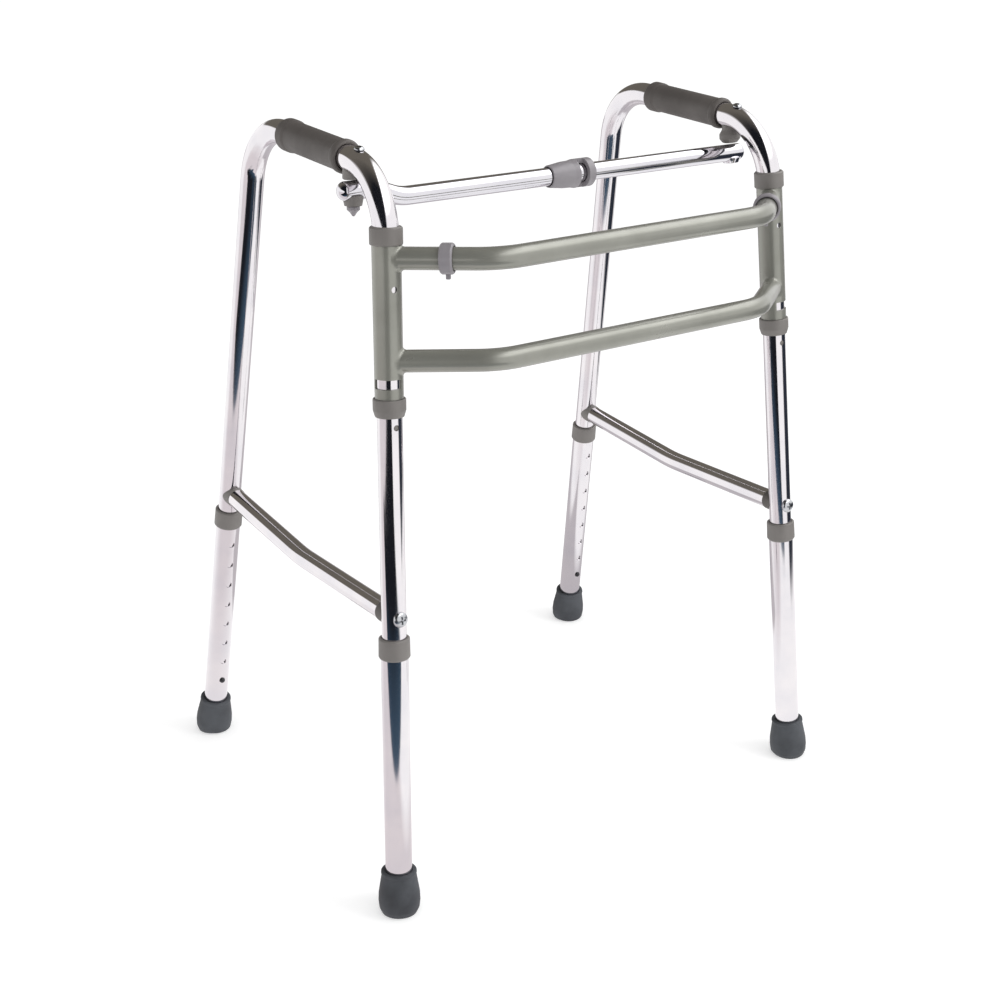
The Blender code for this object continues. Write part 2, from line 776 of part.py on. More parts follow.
def make_leg(leg):
    """Sliding lower leg with its row of holes, its collar and its foot."""
    top = leg.top + COLLAR_HEIGHT / 2 - COLLAR_LIP
    length = (top - LEG_END) * leg.slope
    tube = ring(leg.name + "_leg", TUBE / 2 + SEAT, SLEEVE / 2, 0, length)
    put(tube, leg.place(LEG_END), leg.pivot)
    for i in range(HOLES):
        z = BUTTON_HEIGHT + i * HOLE_PITCH / leg.slope
        cut(tube, drill(f"{leg.name} hole {i + 1}", HOLE / 2, SLEEVE, leg.at(z),
                        leg.button_way, 10))
    finish(tube, "aluminium")

    half = COLLAR_HEIGHT / 2 * leg.slope
    lip = inside(TUBE / 2 + SEAT)
    bore = inside(SLEEVE / 2 + SEAT)
    wide = COLLAR / 2
    shelf = half - COLLAR_LIP * leg.slope + SEAT
    profile = [(wide - 0.0022, half), (wide - 0.0006, half - 0.0008), (wide, -half + 0.002),
               (wide - 0.002, -half), (bore, -half), (bore, shelf), (lip, shelf), (lip, half)]
    collar = turned(leg.name + "_collar", profile)
    put(collar, leg.place(leg.top), leg.pivot)
    finish(collar, "collar")

    base = FOOT_BASE * leg.slope + FOOT_SINK - SEAT
    top_edge = FOOT_LENGTH + FOOT_SINK
    wide = FOOT_WIDE / 2
    narrow = FOOT_TOP / 2
    profile = [(0, 0), (wide - FOOT_EDGE * 5, 0), (wide - FOOT_EDGE * 1.5, FOOT_EDGE * 1.5),
               (wide, FOOT_EDGE * 5.5), (wide, top_edge * 0.36),
               (wide - FOOT_EDGE * 1.2, top_edge * 0.46),
               (narrow + FOOT_EDGE * 1.2, top_edge * 0.78), (narrow, top_edge - FOOT_EDGE),
               (narrow - FOOT_EDGE, top_edge), (bore, top_edge), (bore, base), (0, base)]
    foot = turned(leg.name + "_foot", profile)
    put(foot, leg.place(-FOOT_SINK / leg.slope), leg.pivot)
    floor = box(leg.name + " floor", (FOOT_WIDE * 2, FOOT_WIDE * 2, FOOT_WIDE),
                (0, 0, -FOOT_WIDE / 2), cutters)
    floor.location = leg.at(0)
    cut(foot, floor)
    finish(foot, "rubber")


def make_button(leg):
    """Snap button on its leaf, and the folded spring behind it, inside the side tube."""
    reach = SLEEVE / 2 + BUTTON_REACH
    leaf = TUBE / 2 - TUBE_WALL - 0.0017
    button = turned(leg.name + "_snap_button",
                    [(0, reach), (BUTTON * 0.3, reach - 0.0004), (BUTTON * 0.44, reach - 0.0014),
                     (BUTTON / 2, reach - 0.0028), (BUTTON / 2, leaf), (0, leaf)], 12)
    place = axes(leg.at(BUTTON_HEIGHT), leg.button_way, leg.up)
    press = pivot(leg.name + "_button_axis", leg.at(BUTTON_HEIGHT), folds[leg.side])
    put(button, place, press)
    strip = box(leg.name + " leaf", (SPRING_WIDTH, 0.022, SPRING_STOCK),
                (0, 0.0005, leaf), cutters)
    put(strip, place)
    join(button, strip)
    finish(button, "black")

    back = -(TUBE / 2 - TUBE_WALL - 0.0013)
    t = SPRING_STOCK
    front = leaf - SPRING_STOCK / 2
    outline = [(back, -0.010), (back + t, -0.010), (back + t, 0.010), (-0.0012, 0.0325),
               (0.0012, 0.0325), (front - 0.0016, 0.0122), (front + t * 1.1 - 0.0016, 0.0118),
               (0.0016, 0.0345), (-0.0016, 0.0345), (back, 0.0105)]
    spring = prism(leg.name + "_button_spring", outline, SPRING_WIDTH / 2)
    put(spring, leg.place(BUTTON_HEIGHT), folds[leg.side])
    finish(spring, "steel")


# Folding crossbar

def crossbar_point(x):
    """A point of the crossbar's centre line."""
    return Vector((x, PIVOT_Y, PIVOT_HEIGHT))


def make_strut(side):
    """Half of the crossbar: a tube, domed at its outer end and open at the middle."""
    name = SIDE_NAMES[side] + "_strut"
    parent = strut_axes[side]
    radius = CROSSBAR / 2
    bore = inside(radius - CROSSBAR_WALL, BAR_SIDES)
    up = front_up(side)
    end = strut_end(side)
    outer = abs(end.x) + CROSSBAR_END
    dome = [(0, 0.04), (0.12, 0.55), (0.42, 0.87), (0.85, 1)]
    if side == LEFT:
        level = Vector((-outer, end.y, end.z))
        corners = [crossbar_point(-FORK_REACH), crossbar_point(end.x + BEND_LENGTH),
                   Vector((end.x + BEND_FLAT, end.y, end.z)), level]
        route = rounded(corners, BEND_RADIUS, 4)[:-1]
        route += [level + ACROSS * radius * depth for depth, _ in reversed(dome)]
        widths = [1] * (len(route) - len(dome)) + [width for _, width in reversed(dome)]
        strut = rod(name, route, radius, BAR_SIDES, widths=widths)
        strut.parent = parent
        strut.location = route[0] - Vector(parent["place"])
        inner = rod(name + " bore", [route[0] + ACROSS * radius] + route[1:-len(dome)]
                    + [level + ACROSS * radius * 1.6], bore, BAR_SIDES, cutters)
        cut(strut, inner)
    else:
        profile = [(max(width, 0.04) * radius * (width > 0.04), outer - radius * depth)
                   for depth, width in dome]
        profile += [(radius, FORK_REACH), (bore, FORK_REACH), (bore, outer - radius * 1.6),
                    (0, outer - radius * 1.6)]
        strut = turned(name, profile, BAR_SIDES)
        put(strut, axes(crossbar_point(0), ACROSS, UPWARD), parent)
    hole = drill(name + " pivot hole", PIVOT_BOLT / 2 + SEAT, CROSSBAR * 2,
                 end - up * CROSSBAR, up)
    cut(strut, hole)
    finish(strut, "chrome")

    low = saddle_low(side)
    saddle = turned(SIDE_NAMES[side] + "_strut_saddle",
                    [(0, SADDLE_GRIP - radius), (SADDLE / 2, SADDLE_GRIP - radius),
                     (SADDLE / 2 - SADDLE_TAPER, low), (0, low)])
    put(saddle, axes(end, up, REARWARD), parent)
    seat = cylinder(name + " saddle seat", inside(CROSSBAR / 2 + SEAT, BAR_SIDES), -0.03, 0.03,
                    BAR_SIDES, cutters)
    put(seat, axes(end, ACROSS, UPWARD))
    bolt = drill(name + " saddle bore", PIVOT_BOLT / 2 + SEAT, CROSSBAR * 2,
                 end - up * CROSSBAR, up)
    cut(saddle, seat, bolt)
    finish(saddle, "collar")


def hinge_frame():
    """Frame of the centre hinge: Z along its pin, X along the crossbar."""
    tilt = math.radians(HINGE_TILT)
    pin = Vector((0, math.sin(tilt), math.cos(tilt)))
    return axes(crossbar_point(0), pin, pin.cross(ACROSS))


def make_hinge():
    """Tongue and fork that meet at the centre pin, each plugged into its strut."""
    radius = CROSSBAR / 2
    plug = radius - CROSSBAR_WALL - SEAT
    frame = hinge_frame()
    for side in (LEFT, RIGHT):
        name = "left_tongue" if side == LEFT else "right_fork"
        parent = strut_axes[side]
        end = FORK_REACH + PLUG
        shape = turned(name, [(0, end), (plug - 0.001, end), (plug, end - 0.001),
                              (plug, FORK_REACH), (radius, FORK_REACH - SEAT),
                              (radius, -radius), (0, -radius)], BAR_SIDES)
        put(shape, axes(crossbar_point(0), ACROSS * side, UPWARD), parent)
        nose = ring(name + " nose", radius - 0.0002, radius * 2.6, -radius * 2, radius * 2,
                    SIDES, cutters)
        keep = box(name + " nose side", (radius * 6, radius * 6, radius * 6),
                   (side * radius * 3, 0, 0), cutters)
        put(nose, frame)
        put(keep, frame)
        cut(nose, keep)
        bore = cylinder(name + " pin bore", CENTRE_PIN / 2 + SEAT, -radius * 2, radius * 2, 16,
                        cutters)
        put(bore, frame)
        cut(shape, nose, bore)
        if side == LEFT:
            for way in (1, -1):
                cheek = box(name + " cheek", (FORK_REACH * 2, CROSSBAR * 1.2, radius),
                            (0, 0, way * (TONGUE / 2 + radius / 2)), cutters)
                put(cheek, frame)
                cut(shape, cheek)
        else:
            gap = box(name + " gap", (FORK_REACH * 2, CROSSBAR * 1.2, TONGUE + 0.0008),
                      (0, 0, 0), cutters)
            put(gap, frame)
            cut(shape, gap)
        finish(shape, "steel")
    half = CROSSBAR / 2 - 0.0004
    pin = turned("centre_pin", [(0, half), (CENTRE_PIN / 2, half), (CENTRE_PIN / 2, -half),
                                (0, -half)], 16)
    put(pin, frame, strut_axes[RIGHT])
    finish(pin, "steel")


def make_latch():
    """Flared locking sleeve that slides over the centre hinge, with its window and ring."""
    bore = inside(LATCH_BORE / 2)
    small = LATCH_BORE / 2 + 0.0014
    large = LATCH_BORE / 2 + LATCH_WALL + 0.0012
    window_end = LATCH_END - LATCH_RING
    window_start = window_end - LATCH_WINDOW
    profile = [(small, LATCH_START), (small + 0.0004, LATCH_START + 0.010),
               (large - 0.0012, LATCH_FLARE), (large, window_start - 0.001), (large, LATCH_END - 0.0015),
               (large - 0.0015, LATCH_END), (bore, LATCH_END), (bore, LATCH_START)]
    slide = pivot("latch_axis", (0, PIVOT_Y, PIVOT_HEIGHT), strut_axes[RIGHT])
    latch = turned("latch_sleeve", profile)
    place = axes(crossbar_point(0), ACROSS, UPWARD)
    put(latch, place, slide)
    window = box("latch window", (large * 2, large * 3, LATCH_WINDOW),
                 (-LATCH_SILL - large, 0, (window_start + window_end) / 2), cutters)
    put(window, place)
    cut(latch, window)
    finish(latch, "collar")


for side in (LEFT, RIGHT):
    make_sleeve(side)
    make_bushes(side)
    make_clip(side)
    make_side_tube(side)
    make_grip(side)
    make_bracket(side)
    make_brace(side)
    make_strut(side)
    for leg in LEGS[side]:
        make_leg(leg)
        make_button(leg)
make_bar("upper_bar", UPPER_BAR_HEIGHT)
make_bar("lower_bar", LOWER_BAR_HEIGHT)
make_hinge()
make_latch()
cutters.hide_render = True
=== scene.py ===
"""Looks of a folding walking frame, in metres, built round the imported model."""
import json
import logging
import math
from collections.abc import Callable, Iterable, Mapping, Sequence
from dataclasses import dataclass, field
from enum import Enum
from functools import cache

import bmesh
import bpy
import numpy as np
from mathutils import Matrix, Vector


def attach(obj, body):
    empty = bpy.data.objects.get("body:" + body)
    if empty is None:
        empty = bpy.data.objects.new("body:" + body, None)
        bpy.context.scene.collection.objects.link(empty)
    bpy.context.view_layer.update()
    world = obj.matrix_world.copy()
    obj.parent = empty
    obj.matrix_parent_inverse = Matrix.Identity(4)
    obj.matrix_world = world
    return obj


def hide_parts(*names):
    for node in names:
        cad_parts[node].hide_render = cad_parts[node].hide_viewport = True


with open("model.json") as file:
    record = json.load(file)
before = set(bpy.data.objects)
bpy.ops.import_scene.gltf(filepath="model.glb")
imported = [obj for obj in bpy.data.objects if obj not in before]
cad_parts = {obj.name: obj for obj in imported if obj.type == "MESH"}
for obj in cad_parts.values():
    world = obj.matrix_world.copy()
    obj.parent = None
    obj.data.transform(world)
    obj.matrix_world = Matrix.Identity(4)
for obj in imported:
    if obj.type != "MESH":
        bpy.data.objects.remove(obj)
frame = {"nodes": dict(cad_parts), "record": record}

LOG = logging.getLogger("walking frame")
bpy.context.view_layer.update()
SLOTS = {part["node"]: part["material_slot"] for part in frame["record"]["subparts"]}
MM = 0.001
UP = Vector((0, 0, 1))
REARWARD = Vector((0, 1, 0))
ACROSS = Vector((1, 0, 0))
TINY = 1e-6
TUBE_SIDES = 56

Object = bpy.types.Object
Socket = bpy.types.NodeSocket
NodeTree = bpy.types.NodeTree
Span = tuple[float, float]
Outline = Sequence[Span]


# Setting out

def stand(origin: Vector, up: Vector, forward: Vector) -> Matrix:
    """Frame with Z along up and Y as near to forward as it can be.

    Args:
        origin: Where the frame stands.
        up: Its Z.
        forward: What its Y points towards.

    Returns:
        The frame as a matrix.
    """
    z = up.normalized()
    y = (forward - z * forward.dot(z)).normalized()
    turn = Matrix((y.cross(z), y, z)).transposed()
    return Matrix.Translation(origin) @ turn.to_4x4()


class Side(Enum):
    """A side of the frame, as seen in the photograph."""

    LEFT = -1
    RIGHT = 1

    @property
    def word(self) -> str:
        """The side's name in lower case."""
        return self.name.lower()


@dataclass(frozen=True)
class Layout:
    """Places and lines of the frame, the same as the solids have."""

    track: float = 0.2858
    tilt: float = 0.0558
    front_foot: float = -0.2292
    front_lean: float = 0.0815
    rear_foot: float = 0.2379
    rear_lean: float = -0.1738
    handle_height: float = 0.7819
    handle_rise: float = 0.0437
    hoop_radius: float = 0.070
    tube: float = 0.0254
    sleeve: float = 0.0286
    bar: float = 0.0222
    crossbar: float = 0.0190
    seat: float = 0.0003
    fit: float = 0.0001
    pivot_y: float = -0.1075
    left_neck: float = 0.0070
    right_neck: float = 0.0190
    sleeve_top: float = 0.7070
    sleeve_bottom: float = 0.5596

    @property
    def bore(self) -> float:
        """Radius of what fits round the hoop's tube."""
        return self.tube / 2 + self.fit

    def side_point(self, side: Side, y: float, z: float) -> Vector:
        """A point of a side plane."""
        return Vector((side.value * (self.track - self.tilt * z), y, z))

    def front(self, side: Side, z: float) -> Vector:
        """A point of a front leg's centre line."""
        return self.side_point(side, self.front_foot + self.front_lean * z, z)

    def rear(self, side: Side, z: float) -> Vector:
        """A point of a rear leg's centre line."""
        return self.side_point(side, self.rear_foot + self.rear_lean * z, z)

    def front_up(self, side: Side) -> Vector:
        """Unit vector up a front leg."""
        return (self.front(side, 1) - self.front(side, 0)).normalized()

    def rear_up(self, side: Side) -> Vector:
        """Unit vector up a rear leg."""
        return (self.rear(side, 1) - self.rear(side, 0)).normalized()

    def handle(self, side: Side, y: float) -> Vector:
        """A point of the handle's centre line."""
        return self.side_point(side, y, self.handle_height + self.handle_rise * y)

    def corner(self, side: Side, foot: float, lean: float) -> Vector:
        """Where a leg's centre line meets the handle's."""
        z = (self.handle_height + self.handle_rise * foot) / (1 - self.handle_rise * lean)
        return self.side_point(side, foot + lean * z, z)

    def normal(self, side: Side) -> Vector:
        """Outward unit vector across a side plane."""
        return Vector((side.value, 0, self.tilt)).normalized()

    @property
    def pivot_height(self) -> float:
        """Height of the crossbar's middle."""
        return (self.handle_height + self.handle_rise * self.pivot_y - self.tube / 2
                - self.right_neck - self.crossbar / 2)

    def pivot(self, side: Side) -> Vector:
        """Where a bracket's pin crosses the centre line of the crossbar's end."""
        rise = self.right_neck - self.left_neck if side is Side.LEFT else 0
        up = self.front_up(side)
        return self.side_point(side, self.pivot_y, self.pivot_height) + up * rise / up.z

    def upright(self, side: Side, origin: Vector) -> Matrix:
        """Frame at a point, with Z up the front leg."""
        return stand(origin, self.front_up(side), REARWARD)

    def square_to(self, side: Side, up: Vector, towards: Vector) -> Vector:
        """Unit vector in the side plane, square to up, on the side of towards."""
        flat = up.cross(self.normal(side)).normalized()
        return flat if flat.dot(towards) > 0 else -flat


PLACES = Layout()


def rounded(points: Sequence[Vector], radius: float, steps: int) -> list[Vector]:
    """Puts an arc in place of each corner of a route.

    Args:
        points: The route's corners.
        radius: Radius of each bend.
        steps: Pieces of each arc.

    Returns:
        The points of the bent route.
    """
    route = [points[0].copy()]
    for before, corner, after in zip(points, points[1:], points[2:]):
        back = (before - corner).normalized()
        ahead = (after - corner).normalized()
        half = back.angle(ahead) / 2
        reach = radius / math.tan(half)
        centre = corner + (back + ahead).normalized() * radius / math.sin(half)
        start = corner + back * reach
        axis = (start - centre).cross(corner + ahead * reach - centre).normalized()
        for i in range(steps + 1):
            arm = start - centre
            arm.rotate(Matrix.Rotation((math.pi - 2 * half) * i / steps, 3, axis))
            route.append(centre + arm)
    route.append(points[-1].copy())
    return route


# Finishes

def linear(colour: str) -> tuple[float, float, float, float]:
    """Turns an sRGB hex colour into linear RGBA."""
    parts = [int(colour[i:i + 2], 16) / 255 for i in (1, 3, 5)]
    return (*[c / 12.92 if c <= 0.04045 else ((c + 0.055) / 1.055) ** 2.4 for c in parts], 1.0)


def feed(tree: NodeTree, node: bpy.types.Node, inputs: Mapping[str | int, object]) -> None:
    """Gives a node's inputs their values and links.

    Args:
        tree: The node's tree.
        node: The node.
        inputs: Value, socket or node for each input. A node stands for its first output.
    """
    for key, value in inputs.items():
        if isinstance(value, bpy.types.Node):
            value = value.outputs[0]
        if isinstance(value, Socket):
            tree.links.new(value, node.inputs[key])
        else:
            node.inputs[key].default_value = value


def add(tree: NodeTree, kind: str, inputs: Mapping[str | int, object] | None = None,
        **settings: object) -> bpy.types.Node:
    """Adds a node of a kind, with its own settings and what its inputs get."""
    made = tree.nodes.new(kind)
    for name, value in settings.items():
        setattr(made, name, value)
    feed(tree, made, inputs or {})
    return made


def calc(tree: NodeTree, operation: str, *values: object) -> Socket:
    """Adds one step of arithmetic."""
    return add(tree, "ShaderNodeMath", dict(enumerate(values)), operation=operation).outputs[0]


def ramp(tree: NodeTree, value: object, low: float, high: float, bottom: float = 0.0,
         top: float = 1.0) -> Socket:
    """Adds a ramp from bottom at low to top at high, level beyond them."""
    return add(tree, "ShaderNodeMapRange", {
        "Value": value, "From Min": low, "From Max": high,
        "To Min": bottom, "To Max": top}).outputs[0]


def tint(tree: NodeTree, factor: object, *colours: object) -> Socket:
    """Adds a mix of two colours, each an sRGB hex or a socket."""
    under, over = (linear(one) if isinstance(one, str) else one for one in colours)
    return add(tree, "ShaderNodeMix", {"Factor": factor, 6: under, 7: over},
               data_type="RGBA").outputs[2]


def along(tree: NodeTree, place: Socket, way: Vector) -> Socket:
    """Adds how far a place is along a direction."""
    return add(tree, "ShaderNodeVectorMath", {0: place, 1: tuple(way)},
               operation="DOT_PRODUCT").outputs["Value"]


def shading(owner: bpy.types.Material | bpy.types.World) -> NodeTree:
    """Turns an owner's nodes on and empties them."""
    owner.use_nodes = True
    owner.node_tree.nodes.clear()
    return owner.node_tree


class Surface(Enum):
    """How a surface was made, which sets its pattern."""

    DRAWN = "drawn and polished"
    ENAMELLED = "stove enamelled"
    MOULDED = "moulded against a spark-eroded tool"
    DIPPED = "soft and pebbled"
    PRESSED = "pressed rubber"
    PLATED = "plated"


@dataclass(frozen=True)
class Finish:
    """One material: what it is, how it was made, and its numbers.

    Attributes:
        name: The material's common name.
        surface: How it was made.
        colour: Main colour, sRGB hex.
        second: Colour of its variation, sRGB hex.
        roughness: Mean roughness.
        spread: How far the roughness wanders either way.
        metallic: 1 for bare metal.
        ior: Index of refraction of what isn't metal.
        grain: Size of its pattern in metres.
        relief: Height of its pattern in metres.
        coat: Weight of a clear top layer.
    """

    name: str
    surface: Surface
    colour: str
    second: str
    roughness: float
    spread: float = 0.04
    metallic: float = 0.0
    ior: float = 1.5
    grain: float = 0.8 * MM
    relief: float = 0.01 * MM
    coat: float = 0.0

    def pattern(self, tree: NodeTree) -> tuple[bpy.types.Node, bpy.types.Node]:
        """Builds the nodes of the fine relief and of the slow variation, both from 0 to 1."""
        place = add(tree, "ShaderNodeTexCoord").outputs
        fine_scale = 1 / self.grain
        if self.surface is Surface.DRAWN:
            drawn = add(tree, "ShaderNodeMapping", {
                "Vector": place["UV"], "Scale": (fine_scale, fine_scale / 120, 1)})
            fine = add(tree, "ShaderNodeTexNoise", {
                "Vector": drawn, "Scale": 1.0, "Detail": 2.0})
        elif self.surface is Surface.DIPPED:
            fine = add(tree, "ShaderNodeTexVoronoi", {
                "Vector": place["Object"], "Scale": fine_scale, "Smoothness": 0.6},
                feature="SMOOTH_F1")
        else:
            fine = add(tree, "ShaderNodeTexNoise", {
                "Vector": place["Object"], "Scale": fine_scale, "Detail": 3.0,
                "Roughness": 0.6})
        return fine, add(tree, "ShaderNodeTexNoise", {
            "Vector": place["Object"], "Scale": 22.0, "Detail": 4.0, "Roughness": 0.55})

    @cache
    def material(self) -> bpy.types.Material:
        """The material, built when it is first used."""
        material = bpy.data.materials.new(self.name)
        material.use_nodes = True
        tree = material.node_tree
        fine, slow = self.pattern(tree)
        feed(tree, tree.nodes["Principled BSDF"], {
            "Base Color": tint(tree, ramp(tree, slow, 0.35, 0.65), self.colour, self.second),
            "Roughness": ramp(tree, slow, 0.3, 0.7, self.roughness - self.spread,
                              self.roughness + self.spread),
            "Normal": add(tree, "ShaderNodeBump", {
                "Height": fine, "Distance": self.relief, "Strength": 1.0}),
            "Metallic": self.metallic, "IOR": self.ior, "Coat Weight": self.coat,
            "Coat Roughness": 0.12})
        return material


class Finishes:
    """The frame's materials."""

    # Drawn tube, polished and clear anodised: sharp streaked reflections, faintly warm
    ALUMINIUM = Finish("Polished anodised aluminium", Surface.DRAWN, "#e6e2e4", "#dedbdf",
                       0.10, 0.02, 1.0, grain=0.35 * MM, relief=0.0015 * MM)
    # Plated steel tube: clean mirror
    CHROME = Finish("Chromed steel", Surface.DRAWN, "#dcdade", "#d6d4da",
                    0.07, 0.02, 1.0, grain=0.5 * MM, relief=0.0008 * MM)
    # Stove enamel with a fine metal flake on steel: grey-green, soft gloss, slight orange peel
    ENAMEL = Finish("Grey-green metallic enamel", Surface.ENAMELLED, "#95958d", "#8c8c84",
                    0.30, 0.03, 0.40, grain=1.6 * MM, relief=0.010 * MM, coat=0.30)
    # Moulded polypropylene: warm grey, satin
    COLLAR = Finish("Moulded grey polypropylene", Surface.MOULDED, "#7d7976", "#75716e",
                    0.46, 0.05, grain=0.5 * MM, relief=0.010 * MM)
    # Moulded nylon in a cooler grey, a little glossier
    CLIP = Finish("Moulded grey nylon", Surface.MOULDED, "#938f93", "#837f84",
                  0.34, 0.05, grain=0.5 * MM, relief=0.008 * MM)
    # Moulded vinyl grip: brown grey, pebbled so that it doesn't slip
    GRIP = Finish("Pebbled grey vinyl", Surface.DIPPED, "#5c5754", "#524d4a",
                  0.55, 0.05, grain=0.8 * MM, relief=0.05 * MM)
    # Pressed rubber tip: blue-grey, dull, with a dusty cast
    RUBBER = Finish("Pressed grey rubber", Surface.PRESSED, "#34373c", "#4f5257",
                    0.66, 0.08, grain=0.7 * MM, relief=0.04 * MM)
    # Moulded nylon in black
    NYLON = Finish("Black nylon", Surface.MOULDED, "#26262a", "#1e1e22",
                   0.40, 0.05, grain=0.5 * MM, relief=0.008 * MM)
    # Zinc-plated screw steel: bright, a little cloudy
    ZINC = Finish("Zinc-plated steel", Surface.PLATED, "#c9cacd", "#b7b9bd",
                  0.24, 0.06, 1.0, grain=1.2 * MM, relief=0.004 * MM)


# Mesh making

def new_object(name: str, data: bpy.types.ID) -> Object:
    """Links a mesh, camera or light into the scene as an object."""
    obj = bpy.data.objects.new(name, data)
    bpy.context.scene.collection.objects.link(obj)
    return obj


def from_faces(name: str, points: Iterable[Sequence[float]],
               faces: Iterable[Sequence[int]]) -> Object:
    """Makes an object of points and faces."""
    mesh = bpy.data.meshes.new(name)
    mesh.from_pydata([tuple(p) for p in points], [], [tuple(f) for f in faces])
    return new_object(name, mesh)


def settle(obj: Object) -> Object:
    """Makes what an object's modifiers show its mesh, and takes the modifiers off."""
    bpy.context.view_layer.update()
    shown = obj.evaluated_get(bpy.context.evaluated_depsgraph_get())
    mesh = bpy.data.meshes.new_from_object(shown)
    obj.modifiers.clear()
    obj.data = mesh
    return obj


def smooth(obj: Object, degrees: float = 32) -> Object:
    """Shades an object smooth, but for edges sharper than an angle."""
    obj.data.shade_smooth()
    obj.data.set_sharp_from_angle(angle=math.radians(degrees))
    return obj


def from_bmesh(name: str, bm: bmesh.types.BMesh, place: Matrix) -> Object:
    """Makes a smooth object of a bmesh, in place, and frees the bmesh."""
    bm.transform(place)
    mesh = bpy.data.meshes.new(name)
    bm.to_mesh(mesh)
    bm.free()
    return smooth(new_object(name, mesh))


def softened(profile: Outline, radius: float) -> list[Span]:
    """Rounds the inner corners of an open outline by up to a radius, in a few steps each."""
    steps, share, lead, straight = 3, 0.45, 1.001, math.radians(172)
    flat = [Vector((a, b, 0)) for a, b in profile]
    out = [flat[0]]
    for before, corner, after in zip(flat, flat[1:], flat[2:]):
        back, ahead = before - corner, after - corner
        angle = back.angle(ahead, math.pi)
        if angle > straight or min(back.length, ahead.length) < TINY:
            out.append(corner)
            continue
        reach = min(radius / math.tan(angle / 2), back.length * share, ahead.length * share)
        bend = reach * math.tan(angle / 2)
        out += rounded([corner + back.normalized() * reach * lead, corner,
                        corner + ahead.normalized() * reach * lead], bend, steps)[1:-1]
    out.append(flat[-1])
    return [(p.x, p.y) for p in out]


def revolve(name: str, profile: Outline, place: Matrix, sides: int,
            soft: float = 0.0) -> Object:
    """Turns an outline about Z.

    Args:
        name: The piece's name.
        profile: (radius, height) points. It is closed to a ring unless it starts on the axis.
        place: Where the piece's frame stands.
        sides: Faces round the piece.
        soft: Rounding of the outline's corners.

    Returns:
        The piece, in place.
    """
    on_axis = profile[0][0] < TINY
    line = list(profile) if on_axis else [*profile, profile[0]]
    if soft:
        line = softened(line, soft)
    bm = bmesh.new()
    points = [bm.verts.new((r, 0, h)) for r, h in line]
    edges = [bm.edges.new(pair) for pair in zip(points, points[1:])]
    bmesh.ops.spin(bm, geom=[*points, *edges], cent=(0, 0, 0), axis=(0, 0, 1),
                   angle=math.tau, steps=sides, use_merge=False)
    bmesh.ops.remove_doubles(bm, verts=bm.verts, dist=TINY)
    bmesh.ops.recalc_face_normals(bm, faces=bm.faces)
    layer = bm.loops.layers.uv.new("Along")
    widest = max(r for r, _ in line)
    for face in bm.faces:
        middle = face.calc_center_median()
        towards = math.atan2(middle.y, middle.x)
        for loop in face.loops:
            co = loop.vert.co
            angle = math.atan2(co.y, co.x) if co.xy.length > TINY else towards
            angle += math.tau * round((towards - angle) / math.tau)
            loop[layer].uv = (angle * widest, co.z)
    return from_bmesh(name, bm, place)


def plug(radius: float, place: Matrix, sides: int = 72) -> Object:
    """A short rod, to cut a round seat with."""
    reach = 0.03
    return revolve("plug", [(0, reach), (radius, reach), (radius, -reach), (0, -reach)],
                   place, sides)


def dome(rim: float, base: float, rise: float, steps: int) -> list[Span]:
    """Outline of a dome, from its top out to its rim at the height of its base."""
    angles = [math.pi / 2 * i / steps for i in range(steps + 1)]
    return [(rim * math.sin(a), base + rise * math.cos(a)) for a in angles]


def block(name: str, size: Sequence[float], place: Matrix, bevel: float = 0.0,
          shift: Sequence[float] = (0, 0, 0)) -> Object:
    """A box with rounded edges.

    Args:
        name: The piece's name.
        size: Its three sizes.
        place: Frame that it stands in.
        bevel: Radius of its edges.
        shift: Its middle in that frame.

    Returns:
        The piece, in place.
    """
    bm = bmesh.new()
    bmesh.ops.create_cube(bm, size=1)
    bmesh.ops.scale(bm, vec=Vector(size), verts=bm.verts)
    if bevel:
        bmesh.ops.bevel(bm, geom=bm.edges[:], offset=bevel, segments=3, affect="EDGES",
                        profile=0.5)
    bmesh.ops.translate(bm, vec=Vector(shift), verts=bm.verts)
    return from_bmesh(name, bm, place)


def carve(obj: Object, *tools: Object, operation: str = "DIFFERENCE") -> Object:
    """Cuts pieces away from an object, or fuses them with it, and deletes them."""
    for tool in tools:
        modifier = obj.modifiers.new("Carve", "BOOLEAN")
        modifier.object = tool
        modifier.operation = operation
        modifier.solver = "EXACT"
    settle(obj)
    for tool in tools:
        bpy.data.objects.remove(tool, do_unlink=True)
    return smooth(obj)


# Geometry trees

def tree_of(name: str, sockets: Mapping[str, str]) -> tuple[NodeTree, bpy.types.NodeOutputs]:
    """Starts a geometry tree, with the kind of each input by its name.

    Args:
        name: The tree's name.
        sockets: Kind of each input but the geometry.

    Returns:
        The tree and its inputs' sockets.
    """
    tree = bpy.data.node_groups.new(name, "GeometryNodeTree")
    for label, kind in {"Geometry": "Geometry", **sockets, "Finish": "Material"}.items():
        tree.interface.new_socket(label, in_out="INPUT", socket_type="NodeSocket" + kind)
    tree.interface.new_socket("Geometry", in_out="OUTPUT", socket_type="NodeSocketGeometry")
    return tree, add(tree, "NodeGroupInput").outputs


def close_tree(tree: NodeTree, body: object, tool: object, finish: Socket,
               **options: bool) -> NodeTree:
    """Ends a geometry tree: cuts a tool from a body and leaves real geometry in its finish."""
    cut = add(tree, "GeometryNodeMeshBoolean", {0: body, 1: tool, **{
        name.replace("_", " "): value for name, value in options.items()}},
        operation="DIFFERENCE", solver="EXACT")
    real = add(tree, "GeometryNodeRealizeInstances", {"Geometry": cut})
    dressed = add(tree, "GeometryNodeSetMaterial", {"Geometry": real, "Material": finish})
    add(tree, "NodeGroupOutput", {"Geometry": dressed})
    return tree


